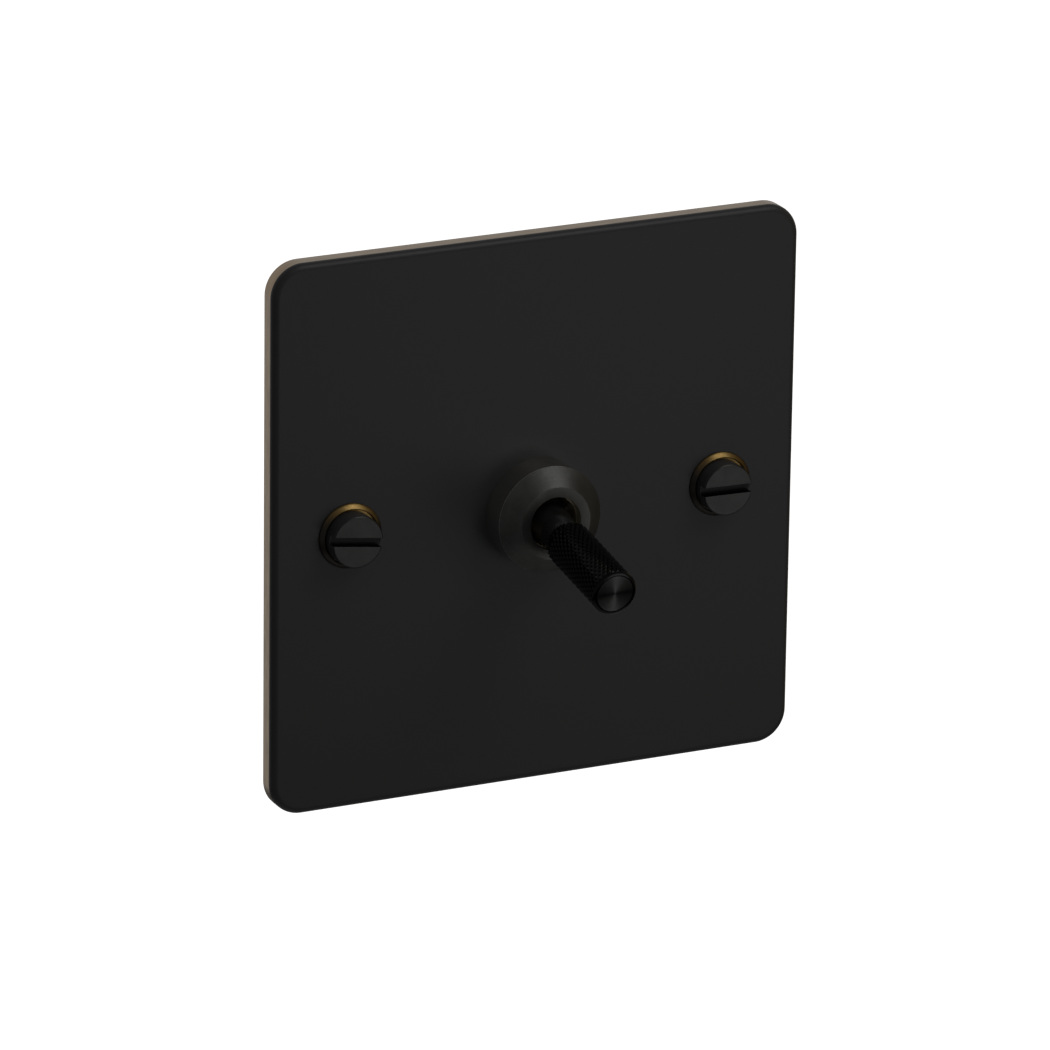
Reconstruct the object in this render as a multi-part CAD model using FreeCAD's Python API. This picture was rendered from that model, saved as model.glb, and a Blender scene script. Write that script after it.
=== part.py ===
"""Single-gang toggle wall switch: square metal plate, dress collar, tilting lever, two-way mechanism.

Frame: the origin is the centre of the plate's rear rim, which lies on the wall. +Y runs into the wall,
-Y out to the user, +Z up and +X to the right as the user sees it. Millimetres throughout.
"""

import FreeCAD
import Part
import math
import os

V = FreeCAD.Vector
AXIS_X, AXIS_Y, AXIS_Z = V(1, 0, 0), V(0, 1, 0), V(0, 0, 1)

# ---- driving dimensions ------------------------------------------------------------------------
# plate
PLATE_SIDE = 85.0
PLATE_THICK = 3.4
PLATE_CORNER_R = 5.0
PLATE_FRONT_ROUND = 1.1
PLATE_REAR_BREAK = 0.2
POCKET_SIDE = 70.0
POCKET_DEPTH = 1.5
POCKET_CORNER_R = 3.0
LINER_THICK = 0.5
WASHER_THICK = 0.6
# wall-box fixings: two M3.5 captive screws
FIXING_CENTRES = 60.3
FIXING_THREAD_R = 1.75
FIXING_WAIST_R = 1.45
FIXING_HOLE_R = 2.0
FIXING_THREAD_START = 0.5
FIXING_END = 16.3
FIXING_POINT = 0.6
HEAD_R = 4.0
HEAD_FRONT = 3.0
HEAD_BREAK = 0.15
HEAD_SEAT = 0.25
SLOT_WIDTH = 1.35
SLOT_DEPTH = 1.3
SLOT_TURN_DEG = {"left": 7.7, "right": 1.1}
SEAT_WASHER_R = 5.0
SEAT_WASHER_RIDE = 0.12
SEAT_WASHER_HEIGHT = 0.75
RETAINER_R = 3.6
# collar and bush
BUSH_R = 6.0
BUSH_BORE_R = 3.9
BUSH_FRONT = -8.8
BUSH_FLANGE = 0.8
LOCK_WASHER_R = 9.0
LOCK_WASHER_TEETH = 12
NUT_ACROSS_FLATS = 15.0
NUT_THICK = 2.2
COLLAR_R = 8.25
COLLAR_RIM_HEIGHT = 4.7
COLLAR_HEIGHT = 6.8
COLLAR_NOSE_R = 5.55
COLLAR_MOUTH_R = 4.06
COLLAR_DISH = 0.08
COLLAR_EDGE_BREAK = 0.12
# lever
PIVOT_Y = -4.7
PIVOT_PIN_R = 0.8
PIVOT_RUNNING_GAP = 0.05
REST_TILT_DEG = 9.5
BALL_R = 3.6
ROOT_R = 2.8
TAIL_R = 2.0
TAIL_LENGTH = 13.5
TAIL_BORE_R = 1.3
TAIL_BORE_DEPTH = 9.0
GRIP_START = 8.36
GRIP_LENGTH = 17.6
GRIP_R = 3.5
GRIP_EDGE_IN, GRIP_EDGE_BACK = 0.65, 0.28
GRIP_SHOULDER = 1.7
GRIP_STUD_R = 1.5
GRIP_STUD_LENGTH = 8.0
# plunger
PLUNGER_R = 1.25
NOSE_CENTRE = 15.2
PLUNGER_BACK = 10.0
# rocker and contacts
ROCKER_Y = 13.0
ROCKER_TILT_DEG = 6.0
ROCKER_VALLEY = 1.1
ROCKER_SLOPE = 0.12
ROCKER_THICK = 0.8
ROCKER_HALF_LENGTH = 10.0
ROCKER_HALF_WIDTH = 2.5
ROCKER_HUB_R = 0.9
TRUNNION_R = 0.6
TRUNNION_HALF_LENGTH = 4.1
TIP_OFFSET = 8.5
TIP_R = 1.3
MOVING_TIP_HEIGHT = 0.7
FIXED_TIP_FRONT = 13.55
CONTACT_FRONT = 14.2
# mechanism case
FRAME_FRONT = 2.4
FRAME_THICK = 0.8
CASE_FRONT = FRAME_FRONT + FRAME_THICK
CASE_HALF_X = 8.5
CASE_HALF_Z = 16.0
CASE_WALL = 1.6
CASE_FLOOR = 21.0
CASE_REAR = 24.6
SHIELD_FRONT = 4.2
SHIELD_THICK = 0.4
CRADLE_HALF_X = 5.0
CRADLE_FOOT_Y = 11.6
CRADLE_HOOK = 0.9
# terminals
BLOCK_FRONT = 15.0
BLOCK_HALF_X = 5.0
BLOCK_HALF_Z = 3.2
LINE_BLOCK_Z = 10.2
CONTACT_OVERHANG = 0.8
WIRE_R = 1.6
WIRE_Y = 18.4
TERMINAL_SCREW_R = 1.5
TERMINAL_HEAD_R = 2.6
TERMINAL_TIP_Y, TERMINAL_HEAD_Y, TERMINAL_HEAD_END = 20.2, 22.6, 24.4
TERMINAL_TURN_DEG = {"common": 12, "upper": -28, "lower": 64}
WELL_R = 2.9
EARTH_X, EARTH_Z = 21.0, -22.0
EARTH_HALF_X, EARTH_HALF_Z = 3.5, 4.0
EARTH_WIRE_Y = 3.4
EARTH_BLOCK_REAR = 7.5
EARTH_TIP_Y, EARTH_HEAD_Y, EARTH_HEAD_END = 5.2, 8.0, 9.8
EARTH_TURN_DEG = 35

PLATE_FACE = -PLATE_THICK
POCKET_FLOOR = -POCKET_DEPTH
LINER_REAR = POCKET_FLOOR + LINER_THICK
WASHER_REAR = LINER_REAR + WASHER_THICK
SHIELD_REAR = SHIELD_FRONT + SHIELD_THICK
PIVOT = V(0, PIVOT_Y, 0)


# ---- building blocks ---------------------------------------------------------------------------
def box(x0, x1, y0, y1, z0, z1):
    """Block between two corners."""
    return Part.makeBox(x1 - x0, y1 - y0, z1 - z0, V(x0, y0, z0))


def rod_x(radius, x0, x1, y, z):
    """Cylinder along X."""
    return Part.makeCylinder(radius, x1 - x0, V(x0, y, z), AXIS_X)


def rod_y(radius, y0, y1, x=0.0, z=0.0):
    """Cylinder along Y."""
    return Part.makeCylinder(radius, y1 - y0, V(x, y0, z), AXIS_Y)


def rod_z(radius, z0, z1, x, y):
    """Cylinder along Z."""
    return Part.makeCylinder(radius, z1 - z0, V(x, y, z0), AXIS_Z)


def ring_y(outer, inner, y0, y1, x=0.0, z=0.0):
    """Flat ring about an axis along Y."""
    return rod_y(outer, y0, y1, x, z).cut(rod_y(inner, y0 - 1, y1 + 1, x, z))


def spin(outline, x=0.0, z=0.0):
    """Solid of revolution about an axis along Y, from its (radius, y) corners in order.

    A corner with a third value, (radius, y), starts an arc through that point to the next corner.
    """
    edges = []
    for i, start in enumerate(outline):
        end = outline[(i + 1) % len(outline)]
        middle = start[2] if len(start) == 3 else None
        first, last = V(start[0], start[1], 0), V(end[0], end[1], 0)
        if middle:
            edges.append(Part.Arc(first, V(middle[0], middle[1], 0), last).toShape())
        elif first.distanceToPoint(last) > 1e-6:
            edges.append(Part.LineSegment(first, last).toShape())
    solid = Part.Face(Part.Wire(edges)).revolve(V(0, 0, 0), AXIS_Y, 360)
    solid.translate(V(x, 0, z))
    return solid


def rounded_slab(side, y0, y1, corner_r):
    """Square slab with rounded corners, centred on the Y axis."""
    half = side / 2
    slab = box(-half, half, y0, y1, -half, half)
    return slab.makeFillet(corner_r, edges_along_y(slab))


def edges_along_y(shape):
    """The straight edges that run along Y."""
    return [e for e in shape.Edges if abs(e.BoundBox.XLength) < 1e-6 and abs(e.BoundBox.ZLength) < 1e-6]


def edges_on_y(shape, y):
    """The edges that lie in the plane at this y."""
    return [e for e in shape.Edges if max(abs(e.BoundBox.YMin - y), abs(e.BoundBox.YMax - y)) < 1e-4]


def lever_pose(solid):
    """Turn a piece built with the lever level to the lever's rest position, tip down."""
    solid.rotate(PIVOT, AXIS_X, REST_TILT_DEG)
    return solid


def rocker_pose(solid):
    """Turn a piece built with the rocker level to its rest position, upper contact closed."""
    solid.rotate(V(0, ROCKER_Y, 0), AXIS_X, -ROCKER_TILT_DEG)
    return solid


def along(distance):
    """The y of a point on the level lever, counted from the pivot towards the tip."""
    return PIVOT_Y - distance


# ---- plate and what shows on its front ---------------------------------------------------------
def faceplate():
    """Square plate with a rounded front edge, a shallow rear pocket and three holes."""
    slab = rounded_slab(PLATE_SIDE, PLATE_FACE, 0, PLATE_CORNER_R)
    slab = slab.makeFillet(PLATE_FRONT_ROUND, edges_on_y(slab, PLATE_FACE))
    slab = slab.makeChamfer(PLATE_REAR_BREAK, edges_on_y(slab, 0))
    slab = slab.cut(rounded_slab(POCKET_SIDE, POCKET_FLOOR, 1, POCKET_CORNER_R))
    slab = slab.cut(rod_y(BUSH_R + 0.1, PLATE_FACE - 1, 1))
    for side in (-1, 1):
        slab = slab.cut(rod_y(FIXING_HOLE_R, PLATE_FACE - 1, 1, side * FIXING_CENTRES / 2))
    return slab


def insulating_liner():
    """Fibre sheet in the plate's pocket, cut out round the bush, the screws and the earth block."""
    gap, window_gap = 0.3, 1.0
    sheet = rounded_slab(POCKET_SIDE - 1, POCKET_FLOOR, LINER_REAR, POCKET_CORNER_R - 0.5)
    sheet = sheet.cut(rod_y(BUSH_R + gap, POCKET_FLOOR - 1, 1))
    for side in (-1, 1):
        sheet = sheet.cut(rod_y(FIXING_HOLE_R + gap, POCKET_FLOOR - 1, 1, side * FIXING_CENTRES / 2))
    half_x, half_z = EARTH_HALF_X + window_gap, EARTH_HALF_Z + window_gap
    window = box(EARTH_X - half_x, EARTH_X + half_x, POCKET_FLOOR - 1, 1, EARTH_Z - half_z, EARTH_Z + half_z)
    return sheet.cut(window)


def dress_collar():
    """Collar with a straight rim, a conical shoulder and a dished nose round the lever's mouth."""
    rim, nose = PLATE_FACE - COLLAR_RIM_HEIGHT, PLATE_FACE - COLLAR_HEIGHT
    thread_end = BUSH_FRONT - 0.1
    return spin([
        (BUSH_R, PLATE_FACE), (COLLAR_R, PLATE_FACE), (COLLAR_R, rim + COLLAR_EDGE_BREAK),
        (COLLAR_R - COLLAR_EDGE_BREAK, rim),
        (COLLAR_NOSE_R + 0.05, nose), (COLLAR_NOSE_R - 0.05, nose), (COLLAR_MOUTH_R, nose + COLLAR_DISH),
        (COLLAR_MOUTH_R, thread_end), (BUSH_R, thread_end),
    ])


def seat_washer(x):
    """Brass cup washer: a rounded rim standing round the screw head, which hangs low in its clearance."""
    lip_r, lip_width, lip_break = HEAD_R + 0.2, 0.15, 0.12
    crest, seat = PLATE_FACE - SEAT_WASHER_HEIGHT, PLATE_FACE - HEAD_SEAT
    bulge = (SEAT_WASHER_R - 0.28, PLATE_FACE - 0.72 * SEAT_WASHER_HEIGHT)
    return spin([
        (FIXING_HOLE_R, PLATE_FACE), (SEAT_WASHER_R, PLATE_FACE, bulge), (lip_r + lip_width, crest),
        (lip_r, crest + lip_break), (lip_r, seat), (FIXING_HOLE_R, seat),
    ], x, SEAT_WASHER_RIDE)


def fixing_screw(x, slot_turn_deg):
    """Captive M3.5 screw: slotted cheese head, waisted shank through the plate, threaded end."""
    front = PLATE_FACE - HEAD_FRONT
    screw = spin([
        (0, front), (HEAD_R - HEAD_BREAK, front), (HEAD_R, front + HEAD_BREAK),
        (HEAD_R, PLATE_FACE - HEAD_SEAT), (FIXING_WAIST_R, PLATE_FACE - HEAD_SEAT),
        (FIXING_WAIST_R, FIXING_THREAD_START), (FIXING_THREAD_R, FIXING_THREAD_START),
        (FIXING_THREAD_R, FIXING_END - FIXING_POINT), (FIXING_THREAD_R - FIXING_POINT, FIXING_END),
        (0, FIXING_END),
    ])
    slot = box(-HEAD_R - 1, HEAD_R + 1, front - 1, front + SLOT_DEPTH, -SLOT_WIDTH / 2, SLOT_WIDTH / 2)
    slot.rotate(V(0, 0, 0), AXIS_Y, slot_turn_deg)
    screw = screw.cut(slot)
    screw.translate(V(x, 0, 0))
    return screw


def retaining_washer(x):
    """Fibre washer on the waist behind the plate, too small for the thread to pass."""
    return ring_y(RETAINER_R, FIXING_WAIST_R + 0.05, LINER_REAR, WASHER_REAR, x)


# ---- lever -------------------------------------------------------------------------------------
def lever_stem():
    """Ball, tapered neck and threaded stud towards the user; bored tail towards the mechanism."""
    ball_to_tail = math.sqrt(BALL_R ** 2 - TAIL_R ** 2)
    ball_to_root = math.sqrt(BALL_R ** 2 - ROOT_R ** 2)
    tail_break = 0.3
    swell_start, swell_middle = (3.05, along(2.9)), (3.08, along(4.4))
    taper_start, taper_middle, neck_end_r = (2.95, along(5.6)), (2.72, along(7.0)), 2.35
    stud_end = GRIP_START + GRIP_STUD_LENGTH
    stem = spin([
        (0, along(-TAIL_LENGTH)), (TAIL_R - tail_break, along(-TAIL_LENGTH)),
        (TAIL_R, along(tail_break - TAIL_LENGTH)), (TAIL_R, along(-ball_to_tail), (BALL_R, along(0))),
        (ROOT_R, along(ball_to_root)), (*swell_start, swell_middle), (*taper_start, taper_middle),
        (neck_end_r, along(GRIP_START)), (GRIP_STUD_R, along(GRIP_START)), (GRIP_STUD_R, along(stud_end)),
        (0, along(stud_end)),
    ])
    stem = stem.cut(rod_y(TAIL_BORE_R, along(TAIL_BORE_DEPTH - TAIL_LENGTH), along(-TAIL_LENGTH) + 1))
    stem = stem.cut(rod_x(PIVOT_PIN_R + PIVOT_RUNNING_GAP, -BALL_R - 1, BALL_R + 1, PIVOT_Y, 0))
    return lever_pose(stem)


def knurled_grip():
    """Round grip screwed on the lever's stud, with a sloped shoulder and a flat tip rounded at its edge."""
    tip, base, base_r = GRIP_START + GRIP_LENGTH, GRIP_START, 2.5
    bore_end = base + GRIP_STUD_LENGTH + 0.3
    bulge = 1 - math.sqrt(0.5)
    edge_middle = (GRIP_R - bulge * GRIP_EDGE_IN, along(tip - bulge * GRIP_EDGE_BACK))
    grip = spin([
        (GRIP_STUD_R, along(base)), (base_r, along(base)), (GRIP_R, along(base + GRIP_SHOULDER)),
        (GRIP_R, along(tip - GRIP_EDGE_BACK), edge_middle), (GRIP_R - GRIP_EDGE_IN, along(tip)),
        (0, along(tip)), (0, along(bore_end)), (GRIP_STUD_R, along(bore_end)),
    ])
    return lever_pose(grip)


def pivot_pin():
    """Cross pin through the bush and the lever's ball."""
    return rod_x(PIVOT_PIN_R, -BUSH_R + 0.1, BUSH_R - 0.1, PIVOT_Y, 0)


def plunger():
    """Nylon plunger in the lever's tail, with a round nose."""
    back, nose = along(-PLUNGER_BACK), along(-NOSE_CENTRE)
    half = PLUNGER_R * math.sqrt(0.5)
    body = spin([
        (0, back), (PLUNGER_R, back), (PLUNGER_R, nose, (half, nose + half)), (0, nose + PLUNGER_R),
    ])
    return lever_pose(body)


def plunger_spring():
    """Compression spring between the tail bore's end and the plunger."""
    wire_r, coil_r, turns = 0.16, 0.95, 6
    start = along(TAIL_BORE_DEPTH - TAIL_LENGTH) + wire_r
    length = along(-PLUNGER_BACK) - wire_r - start
    path = Part.makeHelix(length / turns, length, coil_r)
    section = Part.Wire(Part.makeCircle(wire_r, V(coil_r, 0, 0), AXIS_Y))
    coil = Part.Wire(path).makePipeShell([section], True, True)
    coil.rotate(V(0, 0, 0), AXIS_X, -90)
    coil.translate(V(0, start, 0))
    return lever_pose(coil)


# ---- bush, washer, nut and cradle --------------------------------------------------------------
def mounting_bush():
    """Threaded bush, flanged behind the cradle and cross-drilled for the pivot pin."""
    edge_break, flange_r = 0.3, BUSH_R + BUSH_FLANGE
    bush = spin([
        (BUSH_BORE_R, BUSH_FRONT), (BUSH_R - edge_break, BUSH_FRONT), (BUSH_R, BUSH_FRONT + edge_break),
        (BUSH_R, CASE_FRONT), (flange_r, CASE_FRONT), (flange_r, SHIELD_FRONT), (BUSH_BORE_R, SHIELD_FRONT),
    ])
    return bush.cut(rod_x(PIVOT_PIN_R, -BUSH_R - 1, BUSH_R + 1, PIVOT_Y, 0))


def lock_washer():
    """Toothed washer between the liner and the nut."""
    notch_depth, notch_half = 1.1, 0.7
    washer = ring_y(LOCK_WASHER_R, BUSH_R + 0.1, LINER_REAR, WASHER_REAR)
    for i in range(LOCK_WASHER_TEETH):
        notch = box(LOCK_WASHER_R - notch_depth, LOCK_WASHER_R + 1, LINER_REAR - 1, WASHER_REAR + 1,
                    -notch_half, notch_half)
        notch.rotate(V(0, 0, 0), AXIS_Y, 360 * i / LOCK_WASHER_TEETH)
        washer = washer.cut(notch)
    return washer


def rear_nut():
    """Hexagon nut that sets how far the bush stands through the plate."""
    front, rear = WASHER_REAR, WASHER_REAR + NUT_THICK
    corner_r, face_r, chamfer = NUT_ACROSS_FLATS / math.sqrt(3), NUT_ACROSS_FLATS / 2 - 0.2, 0.4
    corners = [V(corner_r * math.sin(math.radians(60 * i)), front, corner_r * math.cos(math.radians(60 * i)))
               for i in range(7)]
    hexagon = Part.Face(Part.makePolygon(corners)).extrude(V(0, rear - front, 0))
    dome = spin([
        (0, front), (corner_r, front), (corner_r, rear - chamfer), (face_r, rear), (0, rear),
    ])
    return hexagon.common(dome).cut(rod_y(BUSH_R, front - 1, rear + 1))


def switch_frame():
    """Bent steel cradle: a flat top plate and two legs whose feet hook into the case."""
    outer_z, foot_end = CASE_HALF_Z + FRAME_THICK, CRADLE_FOOT_Y + FRAME_THICK
    cradle = box(-CASE_HALF_X, CASE_HALF_X, FRAME_FRONT, CASE_FRONT, -outer_z, outer_z)
    cradle = cradle.cut(rod_y(BUSH_R, FRAME_FRONT - 1, CASE_FRONT + 1))
    for side in (-1, 1):
        low, high = sorted((side * CASE_HALF_Z, side * outer_z))
        leg = box(-CRADLE_HALF_X, CRADLE_HALF_X, FRAME_FRONT, foot_end, low, high)
        low, high = sorted((side * (CASE_HALF_Z - CRADLE_HOOK), side * outer_z))
        foot = box(-CRADLE_HALF_X, CRADLE_HALF_X, CRADLE_FOOT_Y, foot_end, low, high)
        cradle = cradle.fuse(leg).fuse(foot)
    return cradle.removeSplitter()


# ---- mechanism case and what it holds ----------------------------------------------------------
def switch_case():
    """Moulded case: stepped cavity, barriers between terminals, wire holes and screw wells."""
    case = box(-CASE_HALF_X, CASE_HALF_X, CASE_FRONT, CASE_REAR, -CASE_HALF_Z, CASE_HALF_Z)
    corner_r, ledge, barrier, hook_gap = 1.5, 0.8, (4.4, 5.8), 0.1
    case = case.makeFillet(corner_r, edges_along_y(case))
    inner_x, inner_z = CASE_HALF_X - CASE_WALL, CASE_HALF_Z - CASE_WALL
    case = case.cut(box(-inner_x, inner_x, CASE_FRONT - 1, SHIELD_REAR, -inner_z, inner_z))
    well_x, well_z = inner_x - ledge, inner_z - ledge
    well = box(-well_x, well_x, SHIELD_REAR - 1, CASE_FLOOR, -well_z, well_z)
    for side in (-1, 1):
        low, high = sorted(side * z for z in barrier)
        well = well.cut(box(-well_x - 1, well_x + 1, BLOCK_FRONT + 0.2, CASE_FLOOR + 1, low, high))
    case = case.cut(well)
    for z in (-LINE_BLOCK_Z, 0, LINE_BLOCK_Z):
        case = case.cut(rod_x(WIRE_R + 0.5, -CASE_HALF_X - 1, CASE_HALF_X + 1, WIRE_Y, z))
        case = case.cut(rod_y(WELL_R, CASE_FLOOR - 1, CASE_REAR + 1, 0, z))
    hook_half, hook_rear = CRADLE_HALF_X + hook_gap, CRADLE_FOOT_Y + FRAME_THICK + hook_gap
    for side in (-1, 1):
        low, high = sorted((side * (CASE_HALF_Z - CRADLE_HOOK - hook_gap), side * (CASE_HALF_Z + 1)))
        case = case.cut(box(-hook_half, hook_half, CRADLE_FOOT_Y - hook_gap, hook_rear, low, high))
    return case


def dust_shield():
    """Fibre sheet over the mechanism, slotted for the lever's tail."""
    gap, slot_half_x, slot_half_z = 0.1, 2.4, 4.0
    half_x, half_z = CASE_HALF_X - CASE_WALL - gap, CASE_HALF_Z - CASE_WALL - gap
    sheet = box(-half_x, half_x, SHIELD_FRONT, SHIELD_REAR, -half_z, half_z)
    slot = box(-slot_half_x, slot_half_x, SHIELD_FRONT - 1, SHIELD_REAR + 1, -slot_half_z, slot_half_z)
    return sheet.cut(slot)


def terminal_block(z):
    """Brass block with a wire bore along X and a tapped hole for its screw from the rear."""
    block = box(-BLOCK_HALF_X, BLOCK_HALF_X, BLOCK_FRONT, CASE_FLOOR, z - BLOCK_HALF_Z, z + BLOCK_HALF_Z)
    block = block.cut(rod_x(WIRE_R, -BLOCK_HALF_X - 1, BLOCK_HALF_X + 1, WIRE_Y, z))
    return block.cut(rod_y(TERMINAL_SCREW_R, WIRE_Y, CASE_FLOOR + 1, 0, z))


def slotted_screw(tip_y, head_y, head_end, x, z, turn_deg):
    """Cheese-head screw along Y with its head to the rear; the tip stays clear of the wire bore."""
    reach, depth, half_width = TERMINAL_HEAD_R + 1, 0.8, 0.4
    shank, head = rod_y(TERMINAL_SCREW_R, tip_y, head_y), rod_y(TERMINAL_HEAD_R, head_y, head_end)
    screw = shank.fuse(head).removeSplitter()
    slot = box(-reach, reach, head_end - depth, head_end + 1, -half_width, half_width)
    slot.rotate(V(0, 0, 0), AXIS_Y, turn_deg)
    screw = screw.cut(slot)
    screw.translate(V(x, 0, z))
    return screw


def common_saddle():
    """Brass bracket on the common block; its two ears carry the rocker's trunnions."""
    ear_in, ear_out, ear_half_z, ear_above, base_half_z = 3.2, 4.0, 1.5, 1.3, 2.0
    saddle = box(-ear_out, ear_out, CONTACT_FRONT, BLOCK_FRONT, -base_half_z, base_half_z)
    for low, high in ((-ear_out, -ear_in), (ear_in, ear_out)):
        saddle = saddle.fuse(box(low, high, ROCKER_Y - ear_above, CONTACT_FRONT, -ear_half_z, ear_half_z))
    saddle = saddle.removeSplitter()
    return saddle.cut(rod_x(TRUNNION_R + 0.05, -ear_out - 1, ear_out + 1, ROCKER_Y, 0))


def rocker_contact():
    """Copper see-saw strip in a shallow valley, with a hub and trunnions on its pivot."""
    front, thick, reach = ROCKER_Y - ROCKER_VALLEY, ROCKER_THICK, ROCKER_HALF_LENGTH
    rise = ROCKER_SLOPE * reach
    outline = [(0, front), (reach, front - rise), (reach, front - rise + thick), (0, front + thick),
               (-reach, front - rise + thick), (-reach, front - rise), (0, front)]
    corners = [V(-ROCKER_HALF_WIDTH, y, z) for z, y in outline]
    strip = Part.Face(Part.makePolygon(corners)).extrude(V(2 * ROCKER_HALF_WIDTH, 0, 0))
    strip = strip.fuse(rod_x(ROCKER_HUB_R, -ROCKER_HALF_WIDTH, ROCKER_HALF_WIDTH, ROCKER_Y, 0))
    strip = strip.fuse(rod_x(TRUNNION_R, -TRUNNION_HALF_LENGTH, TRUNNION_HALF_LENGTH, ROCKER_Y, 0))
    return rocker_pose(strip.removeSplitter())


def moving_tip(side):
    """Silver button riveted to the rocker's rear face near one end."""
    seat = ROCKER_Y - ROCKER_VALLEY - ROCKER_SLOPE * TIP_OFFSET + ROCKER_THICK
    top, sink = seat + MOVING_TIP_HEIGHT, ROCKER_SLOPE * TIP_R + 0.02
    tip = rod_y(TIP_R, seat - sink, top, 0, side * TIP_OFFSET)
    tip = tip.makeFillet(0.3, edges_on_y(tip, top))
    tip = rocker_pose(tip)
    return tip.cut(rocker_contact())


def fixed_contact(side):
    """Brass tongue on the front of a line block."""
    low, high = sorted((side * (LINE_BLOCK_Z - BLOCK_HALF_Z), side * (LINE_BLOCK_Z + CONTACT_OVERHANG)))
    return box(-ROCKER_HALF_WIDTH, ROCKER_HALF_WIDTH, CONTACT_FRONT, BLOCK_FRONT, low, high)


def fixed_tip(side):
    """Silver button on a line block's tongue, facing the rocker."""
    tip = rod_y(TIP_R, FIXED_TIP_FRONT, CONTACT_FRONT, 0, side * TIP_OFFSET)
    return tip.makeFillet(0.2, edges_on_y(tip, FIXED_TIP_FRONT))


# ---- earth terminal ----------------------------------------------------------------------------
def earth_terminal():
    """Brass block fixed in the plate's pocket, with a wire bore along Z and a tapped hole."""
    low_z, high_z = EARTH_Z - EARTH_HALF_Z, EARTH_Z + EARTH_HALF_Z
    low_x, high_x = EARTH_X - EARTH_HALF_X, EARTH_X + EARTH_HALF_X
    block = box(low_x, high_x, POCKET_FLOOR, EARTH_BLOCK_REAR, low_z, high_z)
    block = block.cut(rod_z(WIRE_R, low_z - 1, high_z + 1, EARTH_X, EARTH_WIRE_Y))
    return block.cut(rod_y(TERMINAL_SCREW_R, EARTH_WIRE_Y, EARTH_BLOCK_REAR + 1, EARTH_X, EARTH_Z))


# ---- every node --------------------------------------------------------------------------------
def build():
    """Make every sub-part, by node name."""
    nodes = {
        "faceplate": faceplate(),
        "insulating_liner": insulating_liner(),
        "dress_collar": dress_collar(),
        "mounting_bush": mounting_bush(),
        "pivot_pin": pivot_pin(),
        "lock_washer": lock_washer(),
        "rear_nut": rear_nut(),
        "switch_frame": switch_frame(),
        "switch_case": switch_case(),
        "dust_shield": dust_shield(),
        "common_saddle": common_saddle(),
        "lever_stem": lever_stem(),
        "knurled_grip": knurled_grip(),
        "plunger": plunger(),
        "plunger_spring": plunger_spring(),
        "rocker_contact": rocker_contact(),
        "earth_terminal": earth_terminal(),
        "earth_screw": slotted_screw(EARTH_TIP_Y, EARTH_HEAD_Y, EARTH_HEAD_END, EARTH_X, EARTH_Z,
                                     EARTH_TURN_DEG),
    }
    for name, side in (("left", -1), ("right", 1)):
        x = side * FIXING_CENTRES / 2
        nodes["fixing_screw_" + name] = fixing_screw(x, SLOT_TURN_DEG[name])
        nodes["seat_washer_" + name] = seat_washer(x)
        nodes["retaining_washer_" + name] = retaining_washer(x)
    for name, side in (("upper", 1), ("lower", -1)):
        nodes["fixed_contact_" + name] = fixed_contact(side)
        nodes["fixed_tip_" + name] = fixed_tip(side)
        nodes["moving_tip_" + name] = moving_tip(side)
    for name, z in (("common", 0), ("upper", LINE_BLOCK_Z), ("lower", -LINE_BLOCK_Z)):
        nodes["terminal_" + name] = terminal_block(z)
        nodes["terminal_screw_" + name] = slotted_screw(
            TERMINAL_TIP_Y, TERMINAL_HEAD_Y, TERMINAL_HEAD_END, 0, z, TERMINAL_TURN_DEG[name])
    return nodes


def main():
    """Write one STEP file per sub-part."""
    os.makedirs("parts", exist_ok=True)
    for name, shape in build().items():
        if shape.ShapeType != "Solid" and len(shape.Solids) == 1:
            shape = shape.Solids[0]
        shape.exportStep("parts/" + name + ".step")
        print(name, shape.isValid(), len(shape.Solids), round(shape.Volume, 2))


main()
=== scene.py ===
"""Looks for a single-gang toggle wall switch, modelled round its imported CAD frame.

Metres in the scene and millimetres in the sizes below, in the CAD frame: the origin is the centre of the
plate's rear rim, +Y runs into the wall, -Y out to the user, +Z up and +X to the right.
"""

import logging
import math
from contextlib import contextmanager
from dataclasses import dataclass
from enum import Enum
from typing import Callable, Iterator, Sequence

import bmesh
import bpy
from mathutils import Matrix, Vector


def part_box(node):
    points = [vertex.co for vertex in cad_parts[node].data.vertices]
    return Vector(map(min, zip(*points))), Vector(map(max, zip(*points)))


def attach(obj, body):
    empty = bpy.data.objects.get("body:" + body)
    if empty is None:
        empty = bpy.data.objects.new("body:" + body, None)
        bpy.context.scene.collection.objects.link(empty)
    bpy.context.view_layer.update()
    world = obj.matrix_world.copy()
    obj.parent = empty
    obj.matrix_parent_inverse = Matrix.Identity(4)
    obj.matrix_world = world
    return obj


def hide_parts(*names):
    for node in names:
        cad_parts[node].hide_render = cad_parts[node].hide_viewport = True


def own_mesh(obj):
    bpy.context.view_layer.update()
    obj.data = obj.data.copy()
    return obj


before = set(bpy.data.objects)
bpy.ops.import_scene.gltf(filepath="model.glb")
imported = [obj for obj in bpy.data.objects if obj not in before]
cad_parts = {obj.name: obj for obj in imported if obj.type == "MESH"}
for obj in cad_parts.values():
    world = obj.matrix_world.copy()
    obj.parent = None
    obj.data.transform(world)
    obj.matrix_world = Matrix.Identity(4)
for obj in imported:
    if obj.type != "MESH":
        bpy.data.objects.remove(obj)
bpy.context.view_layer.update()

LOG = logging.getLogger("toggle_switch")

# A millimetre, how near two places are one, in metres, and the cross product below which two points on a
# turned piece stand at the same angle round its axis, in square metres.
MM = 0.001
NEAR = 1e-6
SAME_COLUMN = 1e-10

Colour = tuple[float, float, float]
Triple = tuple[float, float, float]
Pair = tuple[float, float]
Profile = Sequence[Pair]

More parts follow.
